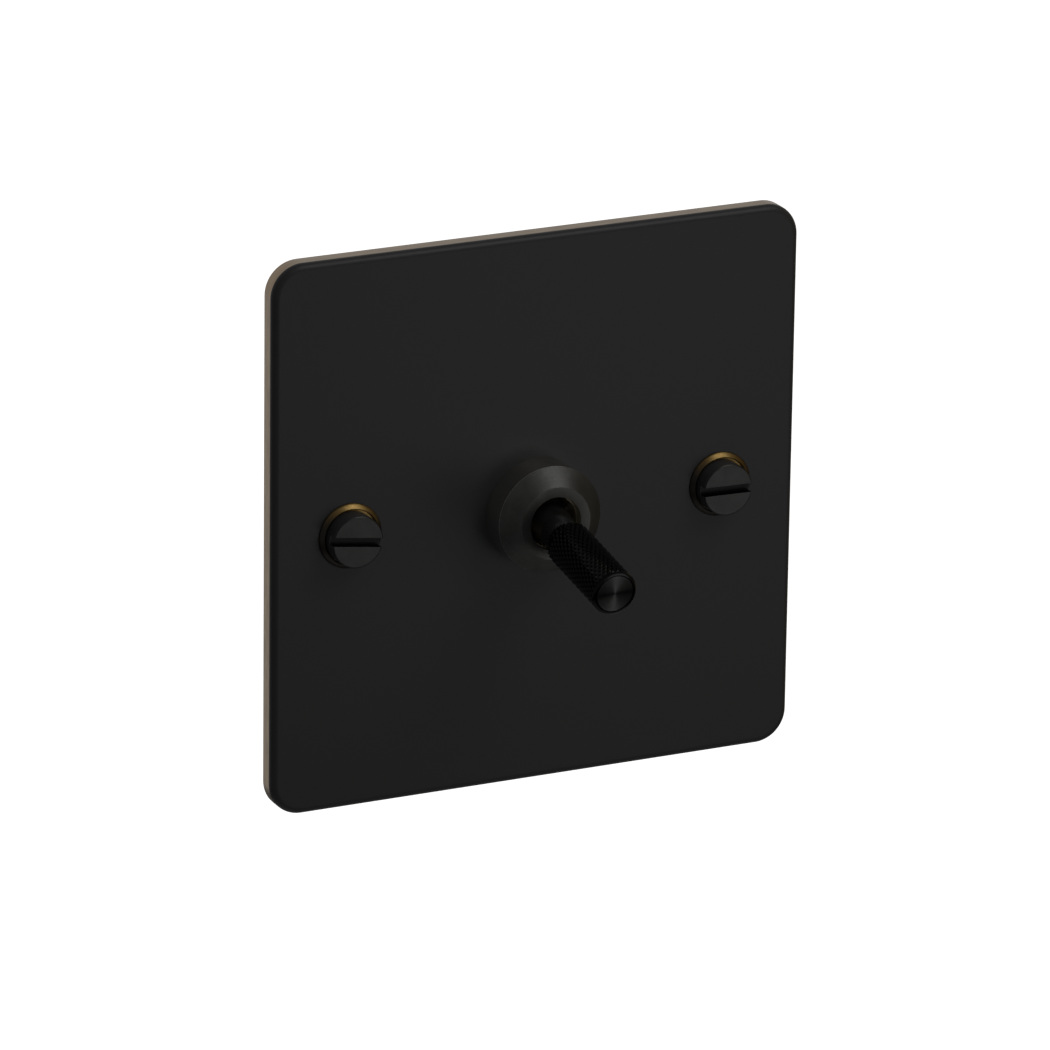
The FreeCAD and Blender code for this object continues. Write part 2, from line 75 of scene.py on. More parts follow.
# Sizes that several pieces or finishes share, in millimetres.
PLATE_FACE_Y = -3.4
SCREW_CENTRES = 60.3
HEAD_RADIUS = 4.0
HEAD_FRONT_Y = PLATE_FACE_Y - 3.0
CUP_RADIUS = 5.0
ORIGIN: Triple = (0.0, 0.0, 0.0)
ALONG_Y: Triple = (0.0, 1.0, 0.0)
LEVER_PIVOT: Triple = (0.0, -4.7, 0.0)
LEVER_TILT_DEG = 9.5
LEVER_AXIS: Triple = (0.0, -math.cos(math.radians(LEVER_TILT_DEG)), -math.sin(math.radians(LEVER_TILT_DEG)))

# The angle up to which edges shade smooth, a pattern that isn't stretched, a noise's average, and how far from
# it clouds count.
SMOOTH_BELOW_DEG = 50.0
EVEN: Triple = (1.0, 1.0, 1.0)
MEAN = 0.5
CLOUD_SPREAD = 0.2


class Body(Enum):
    """The moving bodies that new pieces ride on."""

    SWITCH = "switch_body"
    LEVER = "lever"


class Slot(Enum):
    """Material slot names, listed with some new pieces."""

    PLATE = "plate_black"
    GUNMETAL = "gunmetal"
    BRASS = "brass"
    SCREW = "screw_steel"
    ZINC = "zinc_steel"
    SPRING = "spring_steel"
    LEVER = "lever_black"
    MOULDING = "moulding"


class Part(Enum):
    """What an edit-mode selection picks: the operator's name for it, and the mesh's."""

    EDGE = "edges"
    FACE = "faces"


# ---- modelling bench ---------------------------------------------------------------------------
class Bench:
    """Mesh operators with a clean selection before each, as at a modelling bench."""

    @staticmethod
    def clear() -> None:
        """Leave edit mode and deselect everything."""
        if bpy.context.mode != "OBJECT":
            bpy.ops.object.mode_set(mode="OBJECT")
        bpy.ops.object.select_all(action="DESELECT")

    @staticmethod
    def take(piece: bpy.types.Object) -> None:
        """Select one object alone and make it active.

        Args:
            piece: The object.
        """
        Bench.clear()
        piece.select_set(True)
        bpy.context.view_layer.objects.active = piece

    @staticmethod
    @contextmanager
    def edit(piece: bpy.types.Object) -> Iterator[None]:
        """Work on one object in edit mode, with nothing in it selected at the start.

        Args:
            piece: The object to edit.
        """
        Bench.take(piece)
        bpy.ops.object.mode_set(mode="EDIT")
        bpy.ops.mesh.select_mode(type="VERT")
        bpy.ops.mesh.select_all(action="DESELECT")
        yield
        bpy.ops.object.mode_set(mode="OBJECT")

    @staticmethod
    def pick(piece: bpy.types.Object, part: Part, wanted: Callable[..., bool]) -> int:
        """Select in edit mode every vertex, edge or face that a test accepts, and nothing else.

        Args:
            piece: The object in edit mode.
            part: Whether vertices, edges or faces are tested.
            wanted: The test, given one mesh element.

        Returns:
            How many were picked.
        """
        bpy.ops.mesh.select_all(action="DESELECT")
        bpy.ops.mesh.select_mode(type=part.name)
        mesh = bmesh.from_edit_mesh(piece.data)
        found = [e for e in getattr(mesh, part.value) if wanted(e)]
        for element in found:
            element.select_set(True)
        mesh.select_flush_mode()
        bmesh.update_edit_mesh(piece.data)
        return len(found)

    @staticmethod
    def tidy(piece: bpy.types.Object) -> None:
        """Merge doubles and turn the normals of a closed shell outwards.

        Args:
            piece: The shell.
        """
        with Bench.edit(piece):
            bpy.ops.mesh.select_all(action="SELECT")
            bpy.ops.mesh.remove_doubles(threshold=NEAR)
            bpy.ops.mesh.normals_make_consistent(inside=False)

    @staticmethod
    def settle(piece: bpy.types.Object) -> None:
        """Put the piece's place into its mesh, so that its object sits at the origin."""
        Bench.take(piece)
        bpy.ops.object.transform_apply(location=True, rotation=True, scale=True)

    @staticmethod
    def apply(piece: bpy.types.Object, kind: str, **settings: object) -> None:
        """Add one modifier and apply it.

        Args:
            piece: The object to change.
            kind: The modifier's type, such as BEVEL.
            **settings: The modifier's own properties.
        """
        Bench.take(piece)
        modifier = piece.modifiers.new(kind.lower(), kind)
        for key, value in settings.items():
            setattr(modifier, key, value)
        bpy.ops.object.modifier_apply(modifier=modifier.name)

    @staticmethod
    def cut(piece: bpy.types.Object, cutter: bpy.types.Object) -> None:
        """Cut one closed shape out of a piece and throw the cutter away."""
        Bench.apply(piece, "BOOLEAN", object=cutter, operation="DIFFERENCE", solver="EXACT")
        bpy.data.objects.remove(cutter)

    @staticmethod
    def break_edges(piece: bpy.types.Object, width: float, angle: float = 40.0, segments: int = 2) -> None:
        """Break the sharp edges with a small round.

        Args:
            piece: The object to finish.
            width: The round's width in millimetres.
            angle: Edges sharper than this, in degrees, are rounded.
            segments: Facets across each round.
        """
        Bench.apply(piece, "BEVEL", width=width * MM, segments=segments, limit_method="ANGLE",
                    angle_limit=math.radians(angle))

    @staticmethod
    def shade(piece: bpy.types.Object) -> None:
        """Shade flats flat and rounds round.

        Args:
            piece: The object to finish.
        """
        Bench.take(piece)
        bpy.ops.object.shade_smooth_by_angle(angle=math.radians(SMOOTH_BELOW_DEG))
        Bench.apply(piece, "WEIGHTED_NORMAL", keep_sharp=True)

    @staticmethod
    def draw_on(radius: float, y: float, stations: Profile) -> None:
        """Extrude what is selected in edit mode from station to station about the Y axis, resizing it at each.

        Args:
            radius: Its radius at the start, in millimetres.
            y: Its y at the start, in millimetres.
            stations: The stations, each (radius, y) in millimetres.
        """
        for next_radius, next_y in stations:
            bpy.ops.mesh.extrude_region_move(TRANSFORM_OT_translate={"value": (0, (next_y - y) * MM, 0)})
            grow = next_radius / radius
            bpy.ops.transform.resize(value=(grow, 1, grow), center_override=(0, next_y * MM, 0))
            radius, y = next_radius, next_y

    @staticmethod
    def turned(name: str, outline: Profile, segments: int = 96, ring: bool = False) -> bpy.types.Object:
        """Turn a piece about the Y axis from a circle.

        Args:
            name: The piece's name.
            outline: Stations along the profile, each (radius, y) in millimetres.
            segments: Facets round the axis.
            ring: Whether the profile closes on its first station, as for a ring.

        Returns:
            The turned piece.
        """
        Bench.clear()
        radius, y = outline[0]
        bpy.ops.mesh.primitive_circle_add(vertices=segments, radius=radius * MM, fill_type="NOTHING",
                                          location=(0, y * MM, 0), rotation=(math.pi / 2, 0, 0))
        piece = bpy.context.object
        piece.name = piece.data.name = name
        Bench.settle(piece)
        bpy.ops.object.mode_set(mode="EDIT")
        bpy.ops.mesh.select_all(action="SELECT")
        Bench.draw_on(radius, y, list(outline[1:]) + ([outline[0]] if ring else []))
        if not ring:
            bpy.ops.mesh.edge_face_add()
            Bench.pick(piece, Part.EDGE, lambda e: e.is_boundary and abs(e.verts[0].co.y - y * MM) < NEAR)
            bpy.ops.mesh.edge_face_add()
        bpy.ops.object.mode_set(mode="OBJECT")
        Bench.tidy(piece)
        return piece

    @staticmethod
    def slab(name: str, side: float, front: float, rear: float, corner: float,
             segments: int = 14) -> bpy.types.Object:
        """Make a square slab with rounded corners, centred on the Y axis.

        Args:
            name: The piece's name.
            side: Its width and height in millimetres.
            front: The y of its front in millimetres.
            rear: The y of its rear in millimetres.
            corner: The radius of its corners in millimetres.
            segments: Facets across each corner.

        Returns:
            The slab.
        """
        Bench.clear()
        bpy.ops.mesh.primitive_cube_add(size=1, location=(0, (front + rear) / 2 * MM, 0))
        piece = bpy.context.object
        piece.name = piece.data.name = name
        piece.scale = (side * MM, (rear - front) * MM, side * MM)
        Bench.settle(piece)
        with Bench.edit(piece):
            Bench.pick(piece, Part.EDGE, lambda e: abs(e.verts[0].co.y - e.verts[1].co.y) > NEAR)
            bpy.ops.mesh.bevel(offset=corner * MM, segments=segments, affect="EDGES")
        return piece

    @staticmethod
    def rod(radius: float, start: Triple, end: Triple, segments: int = 48) -> bpy.types.Object:
        """Make a plain round cutter between two points.

        Args:
            radius: Its radius in millimetres.
            start: Where it starts, in millimetres.
            end: Where it ends, in millimetres.
            segments: Facets round it.

        Returns:
            The cutter.
        """
        Bench.clear()
        a, b = Vector(start) * MM, Vector(end) * MM
        bpy.ops.mesh.primitive_cylinder_add(vertices=segments, radius=radius * MM, depth=(b - a).length,
                                            location=(a + b) / 2)
        cutter = bpy.context.object
        cutter.rotation_euler = (b - a).to_track_quat("Z", "Y").to_euler()
        Bench.settle(cutter)
        return cutter

    @staticmethod
    def copy(piece: bpy.types.Object, name: str, shift: Triple = (0.0, 0.0, 0.0),
             turn_deg: float = 0.0) -> bpy.types.Object:
        """Copy a piece with its own mesh, turned about Y through the origin and then moved.

        Args:
            piece: The piece to copy.
            name: The copy's name.
            shift: How far the copy moves, in millimetres.
            turn_deg: How far it turns about +Y, in degrees.

        Returns:
            The copy.
        """
        double = bpy.data.objects.new(name, piece.data.copy())
        double.data.name = name
        bpy.context.scene.collection.objects.link(double)
        turn = Matrix.Rotation(math.radians(turn_deg), 4, "Y")
        double.data.transform(Matrix.Translation(Vector(shift) * MM) @ turn)
        return double


def mount(piece: bpy.types.Object, body: Body, nodes: Sequence[str],
          finish: bpy.types.Material) -> bpy.types.Object:
    """Dress a finished piece, let it ride on its body in place of CAD nodes, and report how it fits them.

    Args:
        piece: The finished piece.
        body: The body that it moves with.
        nodes: The CAD nodes that it stands for.
        finish: Its material.

    Returns:
        The same piece.
    """
    piece.data.materials.clear()
    piece.data.materials.append(finish)
    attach(piece, body.value)
    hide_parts(*nodes)
    boxes = [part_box(n) for n in nodes]
    points = [v.co for v in piece.data.vertices]
    gap = max(max(abs(min(p[i] for p in points) - min(low[i] for low, _ in boxes)),
                  abs(max(p[i] for p in points) - max(high[i] for _, high in boxes))) for i in range(3))
    LOG.info("%-22s %6d faces, box within %.3f mm of its CAD", piece.name, len(piece.data.polygons), gap / MM)
    return piece


# ---- finishes ----------------------------------------------------------------------------------
class Nodes:
    """A node tree, with short ways to add nodes and join them."""

    def __init__(self, tree: bpy.types.NodeTree, place: str) -> None:
        """Empty a tree and give it coordinates.

        Args:
            tree: The node tree of a material or a world.
            place: The texture coordinate that its patterns read.
        """
        self.tree = tree
        self.tree.nodes.clear()
        self.place = self.add("ShaderNodeTexCoord").outputs[place]

    def add(self, kind: str, **settings: object) -> bpy.types.Node:
        """Add a node.

        Args:
            kind: The node's type, such as ShaderNodeMath.
            **settings: The node's own properties.

        Returns:
            The node.
        """
        node = self.tree.nodes.new(kind)
        for key, value in settings.items():
            setattr(node, key, value)
        return node

    def link(self, source: bpy.types.NodeSocket, target: bpy.types.NodeSocket) -> None:
        """Join two sockets."""
        self.tree.links.new(source, target)

    def feed(self, socket: bpy.types.NodeSocket, value: object) -> None:
        """Link an input where the value is a socket, and set it where the value is constant.

        Args:
            socket: The input.
            value: A socket, a number or a vector.
        """
        if isinstance(value, bpy.types.NodeSocket):
            self.link(value, socket)
        else:
            socket.default_value = value

    def calc(self, operation: str, *values: object, clamp: bool = False) -> bpy.types.NodeSocket:
        """Add a math node.

        Args:
            operation: What it does, such as MULTIPLY.
            *values: Its numbers or sockets, in order.
            clamp: Whether the result is held between 0 and 1.

        Returns:
            The result.
        """
        node = self.add("ShaderNodeMath", operation=operation, use_clamp=clamp)
        for socket, value in zip(node.inputs, values):
            self.feed(socket, value)
        return node.outputs["Value"]

    def vector(self, operation: str, *values: object, result: str = "Vector") -> bpy.types.NodeSocket:
        """Add a vector math node.

        Args:
            operation: What it does, such as CROSS_PRODUCT.
            *values: Its vectors or sockets, in order.
            result: Which output is wanted, Vector or Value.

        Returns:
            The result.
        """
        node = self.add("ShaderNodeVectorMath", operation=operation)
        for socket, value in zip(node.inputs, values):
            self.feed(socket, value)
        return node.outputs[result]

    def axis(self, letter: str) -> bpy.types.NodeSocket:
        """Split one coordinate off the tree's place.

        Args:
            letter: The coordinate, X, Y or Z.

        Returns:
            The coordinate.
        """
        node = self.add("ShaderNodeSeparateXYZ")
        self.link(self.place, node.inputs["Vector"])
        return node.outputs[letter]

    def between(self, value: object, start: float, end: float, low: float = 0.0,
                high: float = 1.0) -> bpy.types.NodeSocket:
        """Map a value smoothly from one range to another, held at both ends.

        Args:
            value: The value to map.
            start: Where the result is low.
            end: Where the result is high.
            low: The result at the start.
            high: The result at the end.

        Returns:
            The result.
        """
        node = self.add("ShaderNodeMapRange", interpolation_type="SMOOTHSTEP")
        for name, number in (("Value", value), ("From Min", start), ("From Max", end), ("To Min", low),
                             ("To Max", high)):
            self.feed(node.inputs[name], number)
        return node.outputs["Result"]

    def mix(self, share: object, first: object, second: object) -> bpy.types.NodeSocket:
        """Mix two colours.

        Args:
            share: How much of the second there is, 0 to 1.
            first: A colour or a socket.
            second: A colour or a socket.

        Returns:
            The mixed colour.
        """
        node = self.add("ShaderNodeMix", data_type="RGBA")
        self.feed(node.inputs["Factor"], share)
        for name, value in (("A", first), ("B", second)):
            socket = next(s for s in node.inputs if s.name == name and s.type == "RGBA")
            self.feed(socket, value if isinstance(value, bpy.types.NodeSocket) else (*value, 1.0))
        return next(s for s in node.outputs if s.type == "RGBA")

    def level(self, share: object, first: object, second: object) -> bpy.types.NodeSocket:
        """Mix two numbers.

        Args:
            share: How much of the second there is, 0 to 1.
            first: A number or a socket.
            second: A number or a socket.

        Returns:
            The mixed number.
        """
        node = self.add("ShaderNodeMix", data_type="FLOAT")
        for name, value in (("Factor", share), ("A", first), ("B", second)):
            self.feed(node.inputs[name], value)
        return node.outputs["Result"]


class Recipe(Nodes):
    """A material's node tree, with what the finishes share."""

    def __init__(self, name: str) -> None:
        """Start a material with a principled shader.

        Args:
            name: The material's name.
        """
        self.material = bpy.data.materials.new(name)
        self.material.use_nodes = True
        super().__init__(self.material.node_tree, "Object")
        output = self.add("ShaderNodeOutputMaterial")
        self.shader = self.add("ShaderNodeBsdfPrincipled")
        self.link(self.shader.outputs["BSDF"], output.inputs["Surface"])

    def noise(self, size: float, detail: float = 3.0, stretch: Triple = EVEN,
              rough: float = 0.55) -> bpy.types.NodeSocket:
        """Add noise on object coordinates.

        Args:
            size: The size of its blotches in millimetres.
            detail: How many finer octaves it has.
            stretch: How much longer the blotches are along each axis.
            rough: How strong the finer octaves are.

        Returns:
            The noise, about 0.5 on average.
        """
        mapping = self.add("ShaderNodeMapping")
        self.link(self.place, mapping.inputs["Vector"])
        mapping.inputs["Scale"].default_value = tuple(1 / (size * MM * s) for s in stretch)
        node = self.add("ShaderNodeTexNoise")
        self.link(mapping.outputs["Vector"], node.inputs["Vector"])
        for name, number in (("Scale", 1.0), ("Detail", detail), ("Roughness", rough)):
            node.inputs[name].default_value = number
        return node.outputs["Fac"]

    def clouded(self, size: float, first: Colour, second: Colour, detail: float = 4.0,
                stretch: Triple = EVEN) -> bpy.types.NodeSocket:
        """Mix two colours in soft clouds.

        Args:
            size: The size of the clouds in millimetres.
            first: The colour in the clouds' low places.
            second: The colour in their high places.
            detail: How many finer octaves they have.
            stretch: How much longer they are along each axis.

        Returns:
            The clouded colour.
        """
        cloud = self.noise(size, detail, stretch)
        return self.mix(self.between(cloud, MEAN - CLOUD_SPREAD, MEAN + CLOUD_SPREAD), first, second)

    def grained(self, texture: bpy.types.NodeSocket, spread: float, roughness: float, swing: Pair,
                depth: float) -> None:
        """Let a fine texture vary the roughness and stand up as relief.

        Args:
            texture: The texture, about 0.5 on average.
            spread: How far from its average its values count.
            roughness: The finish's roughness.
            swing: The shares of that roughness in its low and its high places.
            depth: The height of its relief in millimetres.
        """
        self.set(Roughness=self.between(texture, MEAN - spread, MEAN + spread, roughness * swing[0],
                                        roughness * swing[1]))
        self.bump(texture, depth)

    def past(self, value: bpy.types.NodeSocket, start: float, end: float) -> bpy.types.NodeSocket:
        """Return 0 before a start and 1 past an end, both in millimetres."""
        return self.between(value, start * MM, end * MM)

    def wander(self, size: float, reach: float) -> bpy.types.NodeSocket:
        """Return a length about zero that wanders over the surface, its size and reach in millimetres."""
        return self.calc("MULTIPLY", self.calc("SUBTRACT", self.noise(size), MEAN), reach * MM)

    def bump(self, height: bpy.types.NodeSocket, depth: float, strength: float = 1.0) -> None:
        """Drive the shader's normal from a height.

        Args:
            height: The height, 0 to 1.
            depth: How deep 1 is, in millimetres.
            strength: How strongly it is shaded.
        """
        node = self.add("ShaderNodeBump")
        node.inputs["Distance"].default_value = depth * MM
        node.inputs["Strength"].default_value = strength
        self.link(height, node.inputs["Height"])
        self.link(node.outputs["Normal"], self.shader.inputs["Normal"])

    def set(self, **values: object) -> None:
        """Set or link shader inputs, with _ for a space in their names."""
        for name, value in values.items():
            self.feed(self.shader.inputs[name.replace("_", " ")], value)


def scaled(colour: Colour, by: float) -> Colour:
    """Return a colour made lighter or darker."""
    return tuple(min(1.0, c * by) for c in colour)


def shades(colour: Colour, spread: float) -> tuple[Colour, Colour]:
    """Return a colour made darker by a share, and lighter by the same."""
    return scaled(colour, 1 - spread), scaled(colour, 1 + spread)


@dataclass(frozen=True)
class Metal:
    """A plain metal with fine grain, uneven tarnish and soft handling marks."""

    name: str
    colour: Colour
    roughness: float
    tarnish: float = 0.25
    grain: float = 0.25
    blotch: float = 6.0
    depth: float = 0.004
    metallic: float = 1.0
    swing: Pair = (0.85, 1.2)

    def colouring(self, recipe: Recipe) -> bpy.types.NodeSocket:
        """Return the metal's colour over its surface."""
        return recipe.clouded(self.blotch, *shades(self.colour, self.tarnish))

    def material(self) -> bpy.types.Material:
        """Make the metal's material.

        Returns:
            The material.
        """
        recipe = Recipe(self.name)
        recipe.set(Base_Color=self.colouring(recipe), Metallic=self.metallic)
        recipe.grained(recipe.noise(self.grain, detail=5.0, rough=0.65), 0.25, self.roughness, self.swing,
                       self.depth)
        return recipe.material


@dataclass(frozen=True)
class CupBrass(Metal):
    """The cup washers' brass: bright at the top as painted light, with dark brown painted shade down the sides
    and towards the left.
    """

    # The painted shade's colour, the height where the painted light starts, how the border leans lower to the
    # right, and its wander.
    painted_shade_colour: Colour = (0.040, 0.034, 0.029)
    painted_light_start: float = 0.5
    lean: float = 0.30
    wear_and_shade_size: float = 1.5
    wear_and_shade_reach: float = 1.5

    def colouring(self, recipe: Recipe) -> bpy.types.NodeSocket:
        """Fade the brass from dark brown painted shade at the sides to painted light at its top.

        Args:
            recipe: The material's node tree.

        Returns:
            The colour.
        """
        centre = recipe.calc("MULTIPLY", recipe.calc("SIGN", recipe.axis("X")), SCREW_CENTRES / 2 * MM)
        off_x = recipe.calc("SUBTRACT", recipe.axis("X"), centre)
        height = recipe.calc("ADD", recipe.axis("Z"), recipe.calc("MULTIPLY", off_x, self.lean))
        height = recipe.calc("ADD", height, recipe.wander(self.wear_and_shade_size, self.wear_and_shade_reach))
        # Painted light on the top of each washer, painted shade down its sides and to the left, by height.
        bright = recipe.past(height, self.painted_light_start, CUP_RADIUS)
        return recipe.mix(bright, self.painted_shade_colour, super().colouring(recipe))


@dataclass(frozen=True)
class Turned:
    """A metal finished on a lathe: fine rings about an axis, which spread its gloss outwards."""

    name: str
    colour: Colour
    roughness: float
    centre: Triple
    direction: Triple
    anisotropy: float
    ring: float = 0.12
    ring_depth: float = 0.0015
    tarnish: float = 0.15
    blotch: float = 4.0
    swing: Pair = (0.9, 1.12)

    def recipe(self) -> Recipe:
        """Build the finish's node tree.

        Returns:
            The tree, for a finish that adds to it.
        """
        recipe = Recipe(self.name)
        arm = recipe.vector("SUBTRACT", recipe.place, tuple(c * MM for c in self.centre))
        swirl = recipe.vector("CROSS_PRODUCT", arm, self.direction)
        outward = recipe.vector("CROSS_PRODUCT", self.direction, swirl)
        world = recipe.add("ShaderNodeVectorTransform", vector_type="VECTOR", convert_from="OBJECT",
                           convert_to="WORLD")
        recipe.link(recipe.vector("NORMALIZE", outward), world.inputs["Vector"])
        recipe.link(world.outputs["Vector"], recipe.shader.inputs["Tangent"])
        radius = recipe.vector("LENGTH", swirl, result="Value")
        marks = recipe.add("ShaderNodeTexNoise", noise_dimensions="1D")
        recipe.link(recipe.calc("MULTIPLY", radius, 1 / (self.ring * MM)), marks.inputs["W"])
        for name, number in (("Scale", 1.0), ("Detail", 4.0), ("Roughness", 0.6)):
            marks.inputs[name].default_value = number
        recipe.set(Base_Color=recipe.clouded(self.blotch, *shades(self.colour, self.tarnish)),
                   Metallic=1.0, Anisotropic=self.anisotropy)
        recipe.grained(marks.outputs["Fac"], 0.2, self.roughness, self.swing, self.ring_depth)
        return recipe

    def material(self) -> bpy.types.Material:
        """Return the turned finish's material."""
        return self.recipe().material


@dataclass(frozen=True)
class CollarFinish(Turned):
    """The dress collar: satin cone and nose, a polished rim, and a bronze bore."""

    rim_colour: Colour = (0.86, 0.83, 0.78)
    rim_roughness: float = 0.13
    rim_y: float = -8.02
    rim_border: float = 0.06
    bore_colour: Colour = (0.34, 0.30, 0.21)
    bore_metal: float = 0.4
    bore_radius: float = 4.09
    bore_border: float = 0.03
    bore_start: float = -10.08
    bore_full: float = -10.0

    def material(self) -> bpy.types.Material:
        """Make the collar's material, with its three zones by place.

        Returns:
            The material.
        """
        recipe = self.recipe()
        base, rough = (recipe.shader.inputs[name].links[0].from_socket for name in ("Base Color", "Roughness"))
        across = recipe.vector("MULTIPLY", recipe.place, (1.0, 0.0, 1.0))
        radius = recipe.vector("LENGTH", across, result="Value")
        on_rim = recipe.past(recipe.axis("Y"), self.rim_y, self.rim_y + self.rim_border)
        behind_nose = recipe.past(recipe.axis("Y"), self.bore_start, self.bore_full)
        at_wall = recipe.past(radius, self.bore_radius + self.bore_border, self.bore_radius)
        inside = recipe.calc("MULTIPLY", at_wall, behind_nose)
        polished = recipe.calc("SUBTRACT", on_rim, inside, clamp=True)
        recipe.set(Base_Color=recipe.mix(inside, recipe.mix(on_rim, base, self.rim_colour), self.bore_colour),
                   Roughness=recipe.level(polished, rough, self.rim_roughness),
                   Metallic=recipe.calc("SUBTRACT", 1.0, recipe.calc("MULTIPLY", inside, 1 - self.bore_metal)))
        return recipe.material


@dataclass(frozen=True)
class PlateFinish:
    """Black bronze on the plate's face and front round, worn through to bronze on its flat sides."""

    name: str
    black: Colour
    bronze: Colour
    face_roughness: float
    side_roughness: float
    edge_y: float
    specular: float = 0.27
    wear_and_shade_size: float = 1.2
    wear_and_shade_reach: float = 0.10
    border: float = 0.05
    blotch: float = 26.0
    warm: Triple = (1.0, 1.0, 0.98)
    cool: Triple = (1.0, 1.0, 1.10)
    brush_size: float = 0.5
    brush_stretch: Triple = (6.0, 1.0, 6.0)
    brush_shades: Pair = (0.85, 1.12)
    grain: float = 0.12
    depth: float = 0.0012
    swing: Pair = (0.95, 1.05)

    def material(self) -> bpy.types.Material:
        """Make the plate's material.

        Returns:
            The material.
        """
        recipe = Recipe(self.name)
        depth = recipe.calc("ADD", recipe.axis("Y"), recipe.wander(self.wear_and_shade_size, self.wear_and_shade_reach))
        side = recipe.past(depth, self.edge_y - self.border, self.edge_y + self.border)
        warm, cool = (tuple(c * k for c, k in zip(self.black, tint)) for tint in (self.warm, self.cool))
        face = recipe.clouded(self.blotch, warm, cool, detail=3.0)
        worn = recipe.clouded(self.brush_size, *(scaled(self.bronze, share) for share in self.brush_shades),
                              stretch=self.brush_stretch)
        grain = recipe.noise(self.grain, detail=4.0)
        satin = recipe.between(grain, 0.2, 0.8, *(self.face_roughness * share for share in self.swing))
        recipe.set(Base_Color=recipe.mix(side, face, worn), Metallic=side, Specular_IOR_Level=self.specular,
                   Roughness=recipe.level(side, satin, self.side_roughness))
        recipe.bump(grain, self.depth, strength=0.5)
        return recipe.material


@dataclass(frozen=True)
class ScrewFinish:
    """Blackened steel, satin on the head's front, matt on its side, and darker down in the driver slot as
    painted shade.
    """

    name: str
    colour: Colour
    roughness: float
    side: Colour = (0.034, 0.034, 0.035)
    # Painted shade: the darker colour down in the driver slot.
    slot: Colour = (0.011, 0.011, 0.0112)
    front_skin: Pair = (0.10, 0.20)
    slot_floor: Pair = (1.6, 1.5)
    rim_skin: Pair = (-0.08, -0.02)
    blotch: float = 3.0
    uneven: float = 0.08
    grain: float = 0.15
    depth: float = 0.002
    swing: Pair = (0.9, 1.1)

    def material(self) -> bpy.types.Material:
        """Make the screw's material.

        Returns:
            The material.
        """
        recipe = Recipe(self.name)
        off_x = recipe.calc("SUBTRACT", recipe.calc("ABSOLUTE", recipe.axis("X")), SCREW_CENTRES / 2 * MM)
        squares = (recipe.calc("POWER", leg, 2.0) for leg in (off_x, recipe.axis("Z")))
        radius = recipe.calc("SQRT", recipe.calc("ADD", *squares))
        behind = recipe.past(recipe.axis("Y"), *(HEAD_FRONT_Y + skin for skin in self.front_skin))
        before = recipe.past(recipe.axis("Y"), *(HEAD_FRONT_Y + floor for floor in self.slot_floor))
        edge = recipe.past(radius, *(HEAD_RADIUS + skin for skin in self.rim_skin))
        matt = recipe.calc("MULTIPLY", behind, edge)
        # Painted shade darkens the slot's walls and floor, inside the head and below its front.
        painted_slot_shade = recipe.calc("MULTIPLY", recipe.calc("MULTIPLY", behind, before),
                              recipe.calc("SUBTRACT", 1.0, edge))
        skin = recipe.clouded(self.blotch, *shades(self.colour, self.uneven))
        recipe.set(Base_Color=recipe.mix(matt, recipe.mix(painted_slot_shade, skin, self.slot), self.side),
                   Metallic=recipe.calc("SUBTRACT", 1.0, matt))
        recipe.grained(recipe.noise(self.grain, detail=4.0), 0.25, self.roughness, self.swing, self.depth)
        return recipe.material


@dataclass(frozen=True)
class Coated:
    """A black coating on metal, slightly uneven, with a thin gloss."""

    name: str
    colour: Colour
    roughness: float
    specular: float
    blotch: float = 2.5
    uneven: Pair = (0.8, 1.25)
    grain: float = 0.2
    depth: float = 0.002
    swing: Pair = (0.88, 1.15)

    def material(self) -> bpy.types.Material:
        """Make the coating's material.

        Returns:
            The material.
        """
        recipe = Recipe(self.name)
        dark, light = (scaled(self.colour, share) for share in self.uneven)
        recipe.set(Base_Color=recipe.clouded(self.blotch, dark, light), Specular_IOR_Level=self.specular)
        recipe.grained(recipe.noise(self.grain, detail=4.0), 0.3, self.roughness, self.swing, self.depth)
        return recipe.material


@dataclass(frozen=True)
class Moulded:
    """A moulded plastic: fine spark texture and faint flow marks."""

    name: str
    colour: Colour
    roughness: float
    see_through: float = 0.0
    glow_depth: float = 0.6
    flow: float = 9.0
    flow_stretch: Triple = (1.0, 2.5, 1.0)
    uneven: float = 0.10
    spark: float = 0.18
    depth: float = 0.012
    swing: Pair = (0.85, 1.15)

    def material(self) -> bpy.types.Material:
        """Make the plastic's material.

        Returns:
            The material.
        """
        recipe = Recipe(self.name)
        recipe.set(Base_Color=recipe.clouded(self.flow, *shades(self.colour, self.uneven), detail=3.0,
                                             stretch=self.flow_stretch),
                   Subsurface_Weight=self.see_through, Subsurface_Scale=self.glow_depth * MM)
        recipe.grained(recipe.noise(self.spark, detail=5.0, rough=0.7), 0.3, self.roughness, self.swing,
                       self.depth)
        return recipe.material


@dataclass(frozen=True)
class FibreSheet:
    """Pressed fibre board: matt, with long flecks in two directions."""

    name: str
    colour: Colour
    fleck: Colour
    fleck_size: float = 0.5
    fleck_length: float = 7.0
    fleck_zone: Pair = (0.5, 0.75)
    roughness: Pair = (0.75, 0.9)
    rough_zone: Pair = (0.3, 0.8)
    depth: float = 0.03

    def material(self) -> bpy.types.Material:
        """Make the fibre's material.

        Returns:
            The material.
        """
        recipe = Recipe(self.name)
        flecks = (recipe.noise(self.fleck_size, detail=4.0, stretch=stretch)
                  for stretch in ((self.fleck_length, 1.0, 1.0), (1.0, 1.0, self.fleck_length)))
        weave = recipe.calc("MAXIMUM", *flecks)
        recipe.set(Base_Color=recipe.mix(recipe.between(weave, *self.fleck_zone), self.colour, self.fleck),
                   Roughness=recipe.between(weave, *self.rough_zone, *self.roughness))
        recipe.bump(weave, self.depth)
        return recipe.material


